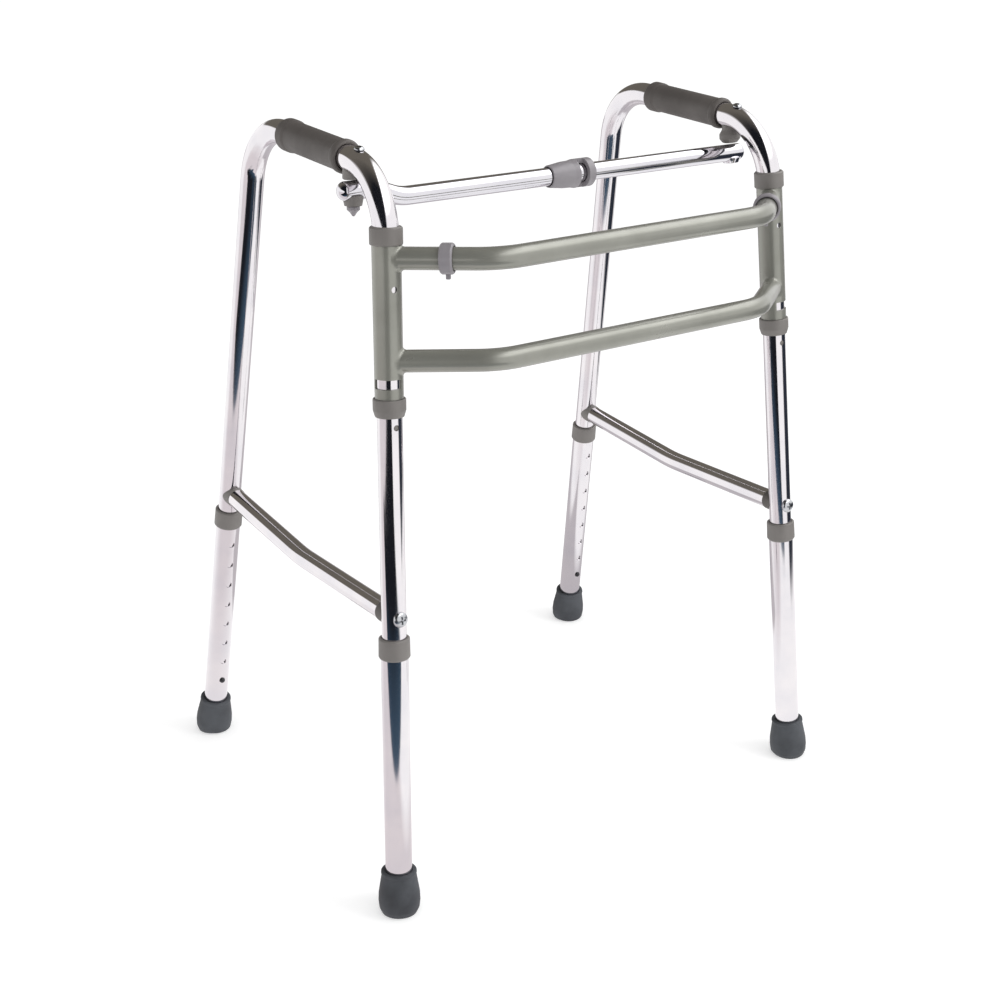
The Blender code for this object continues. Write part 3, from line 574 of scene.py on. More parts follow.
@cache
def tube_tree() -> NodeTree:
    """Tree that turns a line of edges into an open tube with a wall."""
    tree, given = tree_of("Tube along a line", {
        "Radius": "Float", "Wall": "Float", "Sides": "Int"})
    line = add(tree, "GeometryNodeMeshToCurve", {"Mesh": given["Geometry"]})
    tangent = add(tree, "GeometryNodeInputTangent")
    past_end = 0.004
    longer = line
    for start, end, reach in ((1, 0, -past_end), (0, 1, past_end)):
        tip = add(tree, "GeometryNodeCurveEndpointSelection", {
            "Start Size": start, "End Size": end})
        step = add(tree, "ShaderNodeVectorMath", {0: tangent, "Scale": reach},
                   operation="SCALE")
        longer = add(tree, "GeometryNodeSetPosition", {
            "Geometry": longer, "Selection": tip, "Offset": step})
    bore = calc(tree, "SUBTRACT", given["Radius"], given["Wall"])
    rods = []
    for route, radius in ((line, given["Radius"]), (longer, bore)):
        ring = add(tree, "GeometryNodeCurvePrimitiveCircle", {
            "Resolution": given["Sides"], "Radius": radius})
        rods.append(add(tree, "GeometryNodeCurveToMesh", {
            "Curve": route, "Profile Curve": ring, "Fill Caps": True}))
    return close_tree(tree, *rods, given["Finish"])


@cache
def hole_tree() -> NodeTree:
    """Tree that drills a row of holes outwards from a line."""
    tree, given = tree_of("Row of holes", {
        "Start": "Vector", "Step": "Vector", "Way": "Vector", "Count": "Int",
        "Radius": "Float", "Reach": "Float"})
    row = add(tree, "GeometryNodeMeshLine", {
        "Count": given["Count"], "Start Location": given["Start"],
        "Offset": given["Step"]}, mode="OFFSET")
    drill = add(tree, "GeometryNodeMeshCylinder", {
        "Vertices": 28, "Radius": given["Radius"], "Depth": given["Reach"]})
    rise = add(tree, "ShaderNodeCombineXYZ", {"Z": calc(tree, "MULTIPLY", given["Reach"], 0.5)})
    lifted = add(tree, "GeometryNodeTransform", {"Geometry": drill, "Translation": rise})
    turn = add(tree, "FunctionNodeAlignRotationToVector", {"Vector": given["Way"]}, axis="Z")
    drills = add(tree, "GeometryNodeInstanceOnPoints", {
        "Points": row, "Instance": lifted, "Rotation": turn})
    real = add(tree, "GeometryNodeRealizeInstances", {"Geometry": drills})
    return close_tree(tree, given["Geometry"], real, given["Finish"])


@cache
def recess_tree() -> NodeTree:
    """Tree that cuts a cross recess into a screw head."""
    tree, given = tree_of("Cross recess", {
        "Place": "Vector", "Turn": "Rotation", "Span": "Float", "Width": "Float",
        "Depth": "Float"})
    size = add(tree, "ShaderNodeCombineXYZ", {
        "X": given["Span"], "Y": given["Width"],
        "Z": calc(tree, "MULTIPLY", given["Depth"], 2.0)})
    slot = add(tree, "GeometryNodeMeshCube", {"Size": size})
    pair = add(tree, "GeometryNodeMeshLine", {"Count": 2, "Offset": (0, 0, 0)})
    which = add(tree, "GeometryNodeInputIndex")
    spin = add(tree, "ShaderNodeCombineXYZ", {"Z": calc(tree, "MULTIPLY", which, math.pi / 2)})
    slots = add(tree, "GeometryNodeInstanceOnPoints", {
        "Points": pair, "Instance": slot, "Rotation": spin})
    placed = add(tree, "GeometryNodeTransform", {
        "Geometry": slots, "Translation": given["Place"], "Rotation": given["Turn"]})
    real = add(tree, "GeometryNodeRealizeInstances", {"Geometry": placed})
    return close_tree(tree, given["Geometry"], real, given["Finish"], Self_Intersection=True)


def grow(obj: Object, maker: Callable[[], NodeTree], finish: Finish,
         **sizes: object) -> Object:
    """Runs a geometry tree on an object and keeps the result.

    Args:
        obj: The object.
        maker: What builds the tree.
        finish: The finish of what it makes.
        sizes: Value of each other input by its name.

    Returns:
        The object with its new mesh.
    """
    tree = maker()
    modifier = obj.modifiers.new(tree.name, "NODES")
    modifier.node_group = tree
    given = {**sizes, "Finish": finish.material()}
    for item in tree.interface.items_tree:
        if item.in_out == "INPUT" and item.name in given:
            modifier[item.identifier] = given[item.name]
    return settle(obj)


# Tubes

@dataclass(frozen=True)
class Holes:
    """A row of holes: where it starts, its step, the way it faces, its count and radius."""

    start: Vector
    way: Vector
    radius: float
    step: Vector = field(default_factory=lambda: Vector((0, 0, 0)))
    count: int = 1


def line_object(name: str, route: Sequence[Vector]) -> Object:
    """A line of edges through points."""
    edges = [(i, i + 1) for i in range(len(route) - 1)]
    mesh = bpy.data.meshes.new(name)
    mesh.from_pydata([tuple(p) for p in route], edges, [])
    return new_object(name, mesh)


def finer(route: Sequence[Vector], longest: float) -> list[Vector]:
    """Splits the stretches of a route that are longer than a length."""
    out = [route[0]]
    for a, b in zip(route, route[1:]):
        parts = max(1, math.ceil((b - a).length / longest))
        out += [a.lerp(b, i / parts) for i in range(1, parts + 1)]
    return out


def true_round(obj: Object, route: Sequence[Vector]) -> Object:
    """Gives a tube the shading of a true round, and a UV map that runs along it in metres.

    Args:
        obj: A tube.
        route: Its centre line.

    Returns:
        The tube.
    """
    mesh, least, off_line, side_on = obj.data, 1e-9, (0.3, 0.7, 0.64), 0.97
    line = np.array([tuple(p) for p in route])
    steps = np.diff(line, axis=0)
    lengths = np.linalg.norm(steps, axis=1)
    done = np.concatenate(([0.0], np.cumsum(lengths)))
    count = len(mesh.vertices)
    points = np.zeros(count * 3)
    mesh.vertices.foreach_get("co", points)
    points = points.reshape(-1, 3)
    best = np.full(count, 1e9)
    out = np.zeros((count, 3))
    run = np.zeros(count)
    for i, (a, step, length) in enumerate(zip(line, steps, lengths)):
        low = -1.0 if i == 0 else 0.0
        high = 2.0 if i == len(steps) - 1 else 1.0
        t = np.clip((points - a) @ step / length ** 2, low, high)
        arm = points - a - t[:, None] * step
        far = np.linalg.norm(arm, axis=1)
        near = far < best
        best[near] = far[near]
        out[near] = arm[near]
        run[near] = (done[i] + t * length)[near]
    out /= np.maximum(best, least)[:, None]
    plane = np.cross(steps[0], steps[-1])
    if np.linalg.norm(plane) < least:
        plane = np.cross(steps[0], off_line)
    plane /= np.linalg.norm(plane)
    flat = out - (out @ plane)[:, None] * plane
    reference = np.cross(plane, steps[0] / lengths[0])
    turn = np.arctan2(out @ plane, flat @ reference)
    faces = mesh.polygons
    normals = np.zeros(len(faces) * 3)
    faces.foreach_get("normal", normals)
    normals = normals.reshape(-1, 3)
    loop_vertex = np.zeros(len(mesh.loops), dtype=int)
    mesh.loops.foreach_get("vertex_index", loop_vertex)
    shading = np.zeros((len(mesh.loops), 3))
    across = np.zeros((len(mesh.loops), 2))
    radius = float(np.max(best))
    for face in faces:
        loops = np.arange(face.loop_start, face.loop_start + face.loop_total)
        ids = loop_vertex[loops]
        mean = out[ids].mean(axis=0)
        facing = float(mean @ normals[face.index]) / max(least, float(np.linalg.norm(mean)))
        if abs(facing) > side_on:
            shading[loops] = out[ids] * math.copysign(1, facing)
        else:
            shading[loops] = normals[face.index]
        angles = turn[ids]
        angles = angles + math.tau * np.round((angles[0] - angles) / math.tau)
        across[loops, 0] = angles * radius
        across[loops, 1] = run[ids]
    mesh.shade_smooth()
    mesh.normals_split_custom_set([tuple(n) for n in shading])
    layer = mesh.uv_layers.new(name="Along")
    layer.data.foreach_set("uv", across.reshape(-1))
    return obj


def tube(name: str, route: Sequence[Vector], size: float, wall: float, finish: Finish,
         holes: Sequence[Holes] = (), cutters: Sequence[Object] = ()) -> Object:
    """A tube along a route with holes drilled in it.

    Args:
        name: The piece's name.
        route: Its centre line.
        size: Outside diameter.
        wall: Wall thickness.
        finish: Its finish.
        holes: Rows of holes.
        cutters: Pieces to cut away.

    Returns:
        The tube.
    """
    obj = grow(line_object(name, route), tube_tree, finish,
               Radius=size / 2, Wall=wall, Sides=TUBE_SIDES)
    for row in holes:
        grow(obj, hole_tree, finish, Start=row.start, Step=row.step, Way=row.way,
             Count=row.count, Radius=row.radius, Reach=size)
    if cutters:
        carve(obj, *cutters)
    return true_round(obj, route)


def dress(obj: Object, finish: Finish) -> None:
    """Gives an object one finish in place of what it had."""
    obj.data.materials.clear()
    obj.data.materials.append(finish.material())


def place_piece(obj: Object, finish: Finish, body: str, *nodes: str) -> None:
    """Dresses a finished piece, sets it on its body and puts it in its nodes' place.

    Args:
        obj: The piece.
        finish: Its finish.
        body: Body that carries it.
        nodes: CAD nodes that it stands for.
    """
    dress(obj, finish)
    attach(obj, body)
    if nodes:
        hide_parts(*nodes)
    LOG.info("%s rides on %s: %d faces", obj.name, body, len(obj.data.polygons))


# Sub-assemblies

@dataclass(frozen=True)
class Head:
    """A screw head with a cross recess.

    Attributes:
        name: The screw's name.
        node: CAD node that it stands for.
        width: The head's width.
        edge: Height of its rim.
        rise: Height of its dome over the rim.
        steps: Pieces of the dome's arc.
        recess: Width of the cross.
    """

    name: str
    node: str
    width: float
    edge: float
    rise: float
    steps: int
    recess: float


BRACE_HEAD = Head("brace_screw", "brace_bolt", 0.016, 0.0008, 0.0034, 10, 0.0086)
HANDLE_HEAD = Head("handle_screw", "bracket_screw", 0.0104, 0.0004, 0.0028, 8, 0.0056)


@dataclass
class SideFrame:
    """A hoop of front leg, handle and rear leg, with its grip, brace and bracket."""

    side: Side
    wall: float = 0.0012
    tube_end: float = 0.066
    grip_rear: float = 0.0288
    grip_front: float = -0.0952
    grip: float = 0.0315
    bead: float = 0.0340
    bead_length: float = 0.018
    brace_front: float = 0.3335
    brace_rear: float = 0.3420
    brace_low_y: float = -0.0046
    brace_low: float = 0.3265
    brace_bend: float = 0.25
    brace_cap: float = 0.0060
    spigot: float = 0.004
    bolt: float = 0.005
    recess_depth: float = 0.0022
    recess_slim: float = 0.24
    mark_drop: float = 0.0281
    mark: float = 0.006
    top_bush: float = 0.0175
    top_bush_wide: float = 0.0324
    bottom_bush: float = 0.0186
    bottom_bush_wide: float = 0.0330
    bottom_bush_narrow: float = 0.0290
    bottom_bush_band: float = 0.0120
    block_screw_y: float = -0.1162
    left_block: float = 0.020
    right_block: float = 0.0235
    knob_foot: float = 0.0165
    knob_neck: float = 0.0170
    knob_waist: float = 0.0145
    open_gap: float = 0.0010

    def put(self, obj: Object, finish: Finish, *nodes: str) -> None:
        """Dresses a piece and sets it on the side frame, in place of its nodes."""
        place_piece(obj, finish, self.side.word + "_side_frame",
                    *(f"{self.side.word}_{node}" for node in nodes))

    def turned(self, name: str, outline: Outline, place: Matrix, sides: int,
               soft: float = 0.0) -> Object:
        """Turns an outline about Z, with the side in its name."""
        return revolve(f"{self.side.word}_{name}", outline, place, sides, soft)

    def hoop_route(self) -> list[Vector]:
        """Centre line of the hoop."""
        p = PLACES
        corners = [p.front(self.side, self.tube_end),
                   p.corner(self.side, p.front_foot, p.front_lean),
                   p.corner(self.side, p.rear_foot, p.rear_lean),
                   p.rear(self.side, self.tube_end)]
        return rounded(corners, p.hoop_radius, 24)

    def hoop(self) -> None:
        """Makes the hoop, and the stop pin in its small hole."""
        p, side = PLACES, self.side
        forward = -p.square_to(side, p.front_up(side), REARWARD)
        mark = p.front(side, p.sleeve_bottom - self.mark_drop)
        obj = tube(side.word + "_hoop", finer(self.hoop_route(), 0.04), p.tube, self.wall,
                   Finishes.ALUMINIUM, [Holes(mark, forward, self.mark / 2)])
        self.put(obj, Finishes.ALUMINIUM, "side_tube")
        face, rim = p.tube / 2 - 0.0004, self.mark / 2 - p.fit
        pin = self.turned("stop_pin", [
            (0, face), (rim * 0.6, face - 0.0002), (rim, face - 0.0008), (rim, face - 0.004),
            (0, face - 0.004)], stand(mark, forward, UP), 32)
        self.put(pin, Finishes.COLLAR)

    def hand_grip(self) -> None:
        """Makes the moulded grip."""
        p, side = PLACES, self.side
        rear, front = p.handle(side, self.grip_rear), p.handle(side, self.grip_front)
        half = (rear - front).length / 2
        wide, bead = self.grip / 2, self.bead / 2
        back_neck, front_neck = half - self.bead_length, half - self.bead_length * 0.55
        grip = self.turned("hand_grip", [
            (p.bore, half), (bead - 0.0016, half), (bead, half - 0.003),
            (bead, back_neck + 0.004), (wide, back_neck), (wide, -front_neck),
            (bead, -front_neck - 0.003), (bead, -half + 0.003), (bead - 0.0016, -half),
            (p.bore, -half)], stand((rear + front) / 2, rear - front, UP), 96, 0.0022)
        self.put(grip, Finishes.GRIP, "grip")

    def bushes(self) -> None:
        """Makes the bushes above and below the painted sleeve."""
        p, side = PLACES, self.side
        high, wide = self.top_bush, self.top_bush_wide / 2
        bush = self.turned("upper_bush", [
            (p.bore, high + p.seat), (wide - 0.0014, high + p.seat), (wide, high - 0.0012),
            (wide, 0.0012), (wide - 0.0006, p.seat), (p.bore, p.seat)],
            p.upright(side, p.front(side, p.sleeve_top)), 72, 0.0006)
        self.put(bush, Finishes.COLLAR, "top_bush")
        low, wide, band = self.bottom_bush, self.bottom_bush_wide / 2, self.bottom_bush_band
        bush = self.turned("lower_bush", [
            (p.bore, -p.seat), (wide - 0.0008, -p.seat), (wide, -0.0013), (wide, -band),
            (wide - 0.0004, -band - 0.0012), (self.bottom_bush_narrow / 2, -low),
            (p.bore, -low)], p.upright(side, p.front(side, p.sleeve_bottom)), 72, 0.0005)
        self.put(bush, Finishes.COLLAR, "bottom_bush")

    def brace(self) -> None:
        """Makes the bowed brace and its moulded ends."""
        p, side = PLACES, self.side
        front, rear = p.front(side, self.brace_front), p.rear(side, self.brace_rear)
        middle = p.side_point(side, self.brace_low_y, self.brace_low)
        reach, wide = p.tube / 2 + p.seat + self.brace_cap, p.bar / 2
        ends = []
        for end, label, up, finish in ((front, "front", p.front_up(side), Finishes.GRIP),
                                       (rear, "rear", p.rear_up(side), Finishes.COLLAR)):
            ahead = (middle - end).normalized()
            ends.append(end + ahead * reach)
            cap = self.turned(f"brace_{label}_cap", [
                (0, reach + self.spigot), (wide - 0.0016, reach + self.spigot),
                (wide - 0.0016, reach), (wide + 0.0002, reach - 0.0002),
                (wide + 0.0006, reach - 0.002), (wide + 0.0010, 0), (0, 0)],
                stand(end, ahead, p.normal(side)), 64, 0.0005)
            carve(cap, plug(p.bore, stand(end, up, REARWARD)))
            self.put(cap, finish, f"brace_{label}_end")
        bent = finer(rounded([ends[0], middle, ends[1]], self.brace_bend, 10), 0.03)
        obj = tube(side.word + "_brace_tube", bent, p.bar, self.wall, Finishes.ALUMINIUM)
        self.put(obj, Finishes.ALUMINIUM, "brace")

    def screw_place(self) -> Matrix:
        """Frame of the bracket screw: Z up through the bend."""
        p, side = PLACES, self.side
        corner = p.corner(side, p.front_foot, p.front_lean)
        down = (p.front(side, 0) - corner).normalized()
        back = (p.handle(side, 1) - corner).normalized()
        half = down.angle(back) / 2
        centre = corner + (down + back).normalized() * p.hoop_radius / math.sin(half)
        out = p.side_point(side, self.block_screw_y, p.handle_height) - centre
        normal = p.normal(side)
        out = (out - normal * out.dot(normal)).normalized()
        return stand(centre + out * p.hoop_radius, out, REARWARD)

    def screw(self, head: Head, place: Matrix) -> None:
        """Makes a cross-recess screw, in a frame with Z out of its head."""
        face = PLACES.tube / 2 + PLACES.seat
        outline = dome(head.width / 2, face + head.edge, head.rise, head.steps)
        outline += [(head.width / 2, face), (self.bolt / 2, face), (self.bolt / 2, 0), (0, 0)]
        obj = self.turned(head.name, outline, place, 48)
        grow(obj, recess_tree, Finishes.ZINC,
             Place=place @ Vector((0, 0, face + head.edge + head.rise)), Turn=place.to_euler(),
             Span=head.recess, Width=head.recess * self.recess_slim,
             Depth=self.recess_depth)
        self.put(smooth(obj), Finishes.ZINC, head.node)

    def bracket(self) -> None:
        """Makes the block under the handle: a short post, or a knob on a neck."""
        p, side = PLACES, self.side
        wide = (self.left_block if side is Side.LEFT else self.right_block) / 2
        low = p.crossbar / 2 + wide * p.tilt + p.seat
        high = p.tube + p.right_neck
        if side is Side.LEFT:
            soft = 0.0008
            profile = [(0, high), (wide - 0.0008, high), (wide, low + 0.001),
                       (wide - 0.001, low), (0, low)]
        else:
            soft = 0.0025
            low += self.open_gap
            neck = self.knob_neck / 2
            profile = [(0, high), (neck, high), (neck, low + self.knob_waist),
                       (wide, low + self.knob_waist * 0.66), (wide, low + self.knob_waist * 0.3),
                       (self.knob_foot / 2, low), (0, low)]
        obj = self.turned("bracket", profile, p.upright(side, p.pivot(side)), 64, soft)
        ring = grow(line_object("seat", self.hoop_route()), tube_tree, Finishes.COLLAR,
                    Radius=p.bore, Wall=p.tube / 2, Sides=TUBE_SIDES)
        span, tall = 0.08, 0.05
        above = block("above", (span, span, tall), p.upright(side, p.handle(side, p.pivot_y)),
                      shift=(0, 0, tall / 2))
        carve(obj, ring, above)
        self.put(obj, Finishes.COLLAR, "bracket_block")

    def build(self) -> None:
        """Makes the whole side frame."""
        p, side = PLACES, self.side
        self.hoop()
        self.hand_grip()
        self.bushes()
        self.brace()
        self.screw(BRACE_HEAD, stand(p.front(side, self.brace_front),
                                     -p.square_to(side, p.front_up(side), REARWARD), UP))
        self.screw(HANDLE_HEAD, self.screw_place())
        self.bracket()


@dataclass
class LowerLeg:
    """A sliding lower leg with its row of holes, collar, foot and snap button."""

    side: Side
    front: bool
    leg_end: float = 0.011
    front_top: float = 0.300
    rear_top: float = 0.310
    collar_height: float = 0.0222
    collar: float = 0.0328
    collar_lip: float = 0.003
    hole_pitch: float = 0.0285
    holes: int = 8
    hole: float = 0.0075
    button_height: float = 0.081
    button: float = 0.0069
    button_reach: float = 0.0032
    button_dome: float = 0.0026
    button_back: float = 0.0098
    foot_length: float = 0.050
    foot_sink: float = 0.003
    foot_rim_drop: float = 0.0025
    foot_top: float = 0.036
    foot_wide: float = 0.045
    foot_sole: float = 0.014

    @property
    def name(self) -> str:
        """The leg's name."""
        return self.side.word + ("_front" if self.front else "_rear")

    @property
    def top(self) -> float:
        """Height of the collar."""
        return self.front_top if self.front else self.rear_top

    @property
    def slope(self) -> float:
        """Length along the leg for each unit of height."""
        return (self.at(1) - self.at(0)).length

    @property
    def up(self) -> Vector:
        """Unit vector up the leg."""
        return PLACES.front_up(self.side) if self.front else PLACES.rear_up(self.side)

    @property
    def way(self) -> Vector:
        """The way that the button faces."""
        return PLACES.square_to(self.side, self.up, REARWARD if self.front else -REARWARD)

    def at(self, z: float) -> Vector:
        """A point of the leg's centre line."""
        return PLACES.front(self.side, z) if self.front else PLACES.rear(self.side, z)

    def put(self, obj: Object, finish: Finish, node: str) -> None:
        """Dresses a piece and sets it on the lower leg, in place of its node."""
        place_piece(obj, finish, self.name + "_lower_leg", f"{self.name}_{node}")

    def tube(self) -> None:
        """Makes the leg's tube."""
        top = self.top + self.collar_height / 2 - self.collar_lip
        row = Holes(self.at(self.button_height), self.way, self.hole / 2,
                    self.up * self.hole_pitch, self.holes)
        route = finer([self.at(self.leg_end), self.at(top)], 0.02)
        wall = (PLACES.sleeve - PLACES.tube) / 2 - PLACES.seat
        obj = tube(self.name + "_tube", route, PLACES.sleeve, wall, Finishes.ALUMINIUM, [row])
        self.put(obj, Finishes.ALUMINIUM, "leg")

    def leg_collar(self) -> None:
        """Makes the collar that closes the leg's top round the hoop."""
        half, wide = self.collar_height / 2 * self.slope, self.collar / 2
        lip = PLACES.tube / 2 + 0.0004
        shelf = half - self.collar_lip * self.slope + 0.0002
        bore = PLACES.sleeve / 2 + PLACES.fit
        profile = [(lip, half), (wide - 0.0018, half), (wide - 0.0003, half - 0.0012),
                   (wide, -half + 0.0018), (wide - 0.0014, -half), (bore, -half),
                   (bore, shelf), (lip, shelf)]
        collar = revolve(self.name + "_leg_collar", profile,
                         stand(self.at(self.top), self.up, self.way), 72, 0.0006)
        self.put(collar, Finishes.COLLAR, "collar")

    def rubber_foot(self) -> None:
        """Makes the foot: a flared rubber cup with a lip, cut level by the floor."""
        top = self.foot_length - self.foot_rim_drop + self.foot_sink
        wide, narrow = self.foot_wide / 2, self.foot_top / 2
        bore, sole = PLACES.sleeve / 2 + 0.0002, self.foot_sole
        outline = [(0, 0), (wide - 0.0075, 0), (wide - 0.0032, 0.0018), (wide - 0.0008, 0.0075),
                   (wide, top * 0.30), (wide - 0.0004, top * 0.48),
                   (narrow + 0.0020, top * 0.74), (narrow + 0.0008, top * 0.88),
                   (narrow + 0.0004, top - 0.0040), (narrow + 0.0012, top - 0.0030),
                   (narrow + 0.0010, top - 0.0006), (narrow - 0.0002, top),
                   (bore + 0.0006, top), (bore, top - 0.0008), (bore, sole), (0, sole)]
        place = stand(self.at(-self.foot_sink / self.slope), self.up, self.way)
        foot = revolve(self.name + "_rubber_foot", outline, place, 80, 0.0008)
        for vertex in foot.data.vertices:
            vertex.co.z = max(vertex.co.z, 0.0)
        foot.data.update()
        self.put(smooth(foot), Finishes.RUBBER, "foot")

    def snap_button(self) -> None:
        """Makes the domed button."""
        rim, back = self.button / 2, self.button_back
        base = PLACES.sleeve / 2 + self.button_reach - self.button_dome
        button = revolve(self.name + "_button_dome", [
            *dome(rim, base, self.button_dome, 8), (rim, back), (0, back)],
            stand(self.at(self.button_height), self.way, self.up), 40)
        place_piece(button, Finishes.NYLON, self.name + "_button", self.name + "_snap_button")

    def build(self) -> None:
        """Makes the whole lower leg."""
        self.tube()
        self.leg_collar()
        self.rubber_foot()
        self.snap_button()


@dataclass
class FrontFrame:
    """The painted front frame: two sleeves, two bars, their welds and the ring clips."""

    slot_rise: float = 0.0148
    slot: float = 0.0095
    slot_turn: float = 38.0
    slot_half: float = 66.0
    hole_drop: float = 0.0410
    hole: float = 0.0065
    upper: float = 0.6945
    lower: float = 0.5954
    rise: float = 0.0037
    corner_x: float = 0.168
    front_y: float = -0.2485
    bend: float = 0.062
    wall: float = 0.0012
    clip_place: float = 0.54
    clip: float = 0.030
    clip_width: float = 0.013
    nub: float = 0.0050
    nub_wide: float = 0.0045
    nub_root: float = 0.0020
    clip_slack: float = 0.0011
    weld: float = 0.0030
    ripple: float = 0.06
    ripples: int = 36
    hollow: float = 0.12
    weld_root: float = 0.001
    body: str = "front_frame"

    def sleeve(self, side: Side) -> None:
        """Makes a sleeve with its slot and its small hole."""
        p = PLACES
        ends = [p.front(side, p.sleeve_bottom), p.front(side, p.sleeve_top)]
        way = -p.square_to(side, p.front_up(side), REARWARD)
        place = p.upright(side, p.front(side, p.sleeve_bottom + self.slot_rise))
        turn = Matrix.Rotation(side.value * math.radians(self.slot_turn), 4, "Z")
        chord = p.sleeve / 2 * math.cos(math.radians(self.slot_half))
        slot = block("slot", (p.sleeve * 2, p.sleeve, self.slot), place @ turn, 0.0012,
                     (0, -chord - p.sleeve / 2, 0))
        wall = (p.sleeve - p.tube) / 2 - p.seat
        obj = tube(side.word + "_front_sleeve", finer(ends, 0.02), p.sleeve, wall,
                   Finishes.ENAMEL, [Holes(p.front(side, p.sleeve_top - self.hole_drop), way,
                                           self.hole / 2)], cutters=[slot])
        place_piece(obj, Finishes.ENAMEL, self.body, side.word + "_sleeve")

    def bar_corners(self, height: float) -> list[Vector]:
        """Corner points of a bar, from the left sleeve's axis to the right one's."""
        corner = Vector((self.corner_x, self.front_y, height + self.rise))
        far = PLACES.front(Side.RIGHT, height)
        flip = Matrix.Scale(-1, 3, ACROSS)
        return [flip @ far, flip @ corner, corner, far]

    def bar_start(self, side: Side, height: float) -> tuple[Vector, Vector]:
        """Where a bar's centre line leaves a sleeve's axis, and its next corner."""
        corners = self.bar_corners(height)
        return (corners[0], corners[1]) if side is Side.LEFT else (corners[3], corners[2])

    def bar(self, name: str, node: str, height: float) -> None:
        """Makes a bar, coped to both sleeves."""
        p = PLACES
        route = self.bar_corners(height)
        for end, inner in ((0, 1), (-1, -2)):
            route[end] = route[end] + (route[inner] - route[end]).normalized() * p.sleeve / 4
        bent = finer(rounded(route, self.bend, 14), 0.03)
        copes = [plug(p.sleeve / 2, p.upright(side, p.front(side, height))) for side in Side]
        obj = tube(name, bent, p.bar, self.wall, Finishes.ENAMEL, cutters=copes)
        place_piece(obj, Finishes.ENAMEL, self.body, node)

    def weld_fillet(self, side: Side, height: float, label: str) -> None:
        """Lays the weld where a bar meets a sleeve: a hollow fillet, faintly rippled."""
        p = PLACES
        start, ahead = self.bar_start(side, height)
        along = (ahead - start).normalized()
        up = p.front_up(side)
        sideways = up.cross(along).normalized()
        lift = along.cross(sideways).normalized()
        run = along - up * along.dot(up)
        steps, section = 144, 5

        def on_sleeve(arm: Vector) -> Vector:
            """The point of the sleeve that a line beside the bar's axis runs out of."""
            flat = arm - up * arm.dot(up)
            a, b = run.dot(run), flat.dot(run)
            inside = max(0.0, b * b - a * (flat.dot(flat) - (p.sleeve / 2) ** 2))
            return start + arm + along * (-b + math.sqrt(inside)) / a

        points = []
        for i in range(steps):
            angle = math.tau * i / steps
            out = sideways * math.cos(angle) + lift * math.sin(angle)
            size = self.weld * (1 + self.ripple * math.sin(angle * self.ripples))
            corner = on_sleeve(out * p.bar / 2)
            far = on_sleeve(out * (p.bar / 2 + size))
            near = corner + along * size
            middle = corner + (out + along) * size * self.hollow
            points.append(corner - out * self.weld_root - along * self.weld_root)
            for k in range(section + 1):
                t = k / section
                points.append(near * (1 - t) ** 2 + middle * 2 * t * (1 - t) + far * t ** 2)
        ring = section + 2
        faces = [(i * ring + k, i * ring + (k + 1) % ring,
                  (i + 1) % steps * ring + (k + 1) % ring, (i + 1) % steps * ring + k)
                 for i in range(steps) for k in range(ring)]
        fillet = from_faces(f"{side.word}_{label}_weld", points, faces)
        bm = bmesh.new()
        bm.from_mesh(fillet.data)
        bmesh.ops.recalc_face_normals(bm, faces=bm.faces)
        bm.to_mesh(fillet.data)
        bm.free()
        place_piece(smooth(fillet, 50), Finishes.ENAMEL, self.body)

    def ring_clip(self, side: Side) -> None:
        """Makes a ring clip round the upper bar, with its nub below."""
        start, corner = self.bar_start(side, self.upper)
        place = stand(start.lerp(corner, self.clip_place), (corner - start).normalized(), UP)
        half, wide = self.clip_width / 2, self.clip / 2
        bore = PLACES.bar / 2 + PLACES.fit
        loose = bore + self.clip_slack
        profile = [(loose, half), (wide - 0.0012, half), (wide, half - 0.0016),
                   (wide, -half + 0.0016), (wide - 0.0012, -half), (loose, -half),
                   (loose, -half * 0.3), (bore, -half * 0.2), (bore, half * 0.2),
                   (loose, half * 0.3)]
        ring = revolve(side.word + "_bar_clip", profile, place, 72, 0.0005)
        root = self.nub_root
        nub = block("nub", (self.nub_wide, self.nub + root, self.nub_wide), place, 0.0010,
                    (0, -wide - (self.nub - root) / 2, 0))
        carve(ring, nub, operation="UNION")
        place_piece(ring, Finishes.CLIP, self.body, side.word + "_ring_clip")

    def build(self) -> None:
        """Makes the whole front frame."""
        for side in Side:
            self.sleeve(side)
            self.ring_clip(side)
            for height, label in ((self.upper, "upper"), (self.lower, "lower")):
                self.weld_fillet(side, height, label)
        self.bar("upper_front_bar", "upper_bar", self.upper)
        self.bar("lower_front_bar", "lower_bar", self.lower)


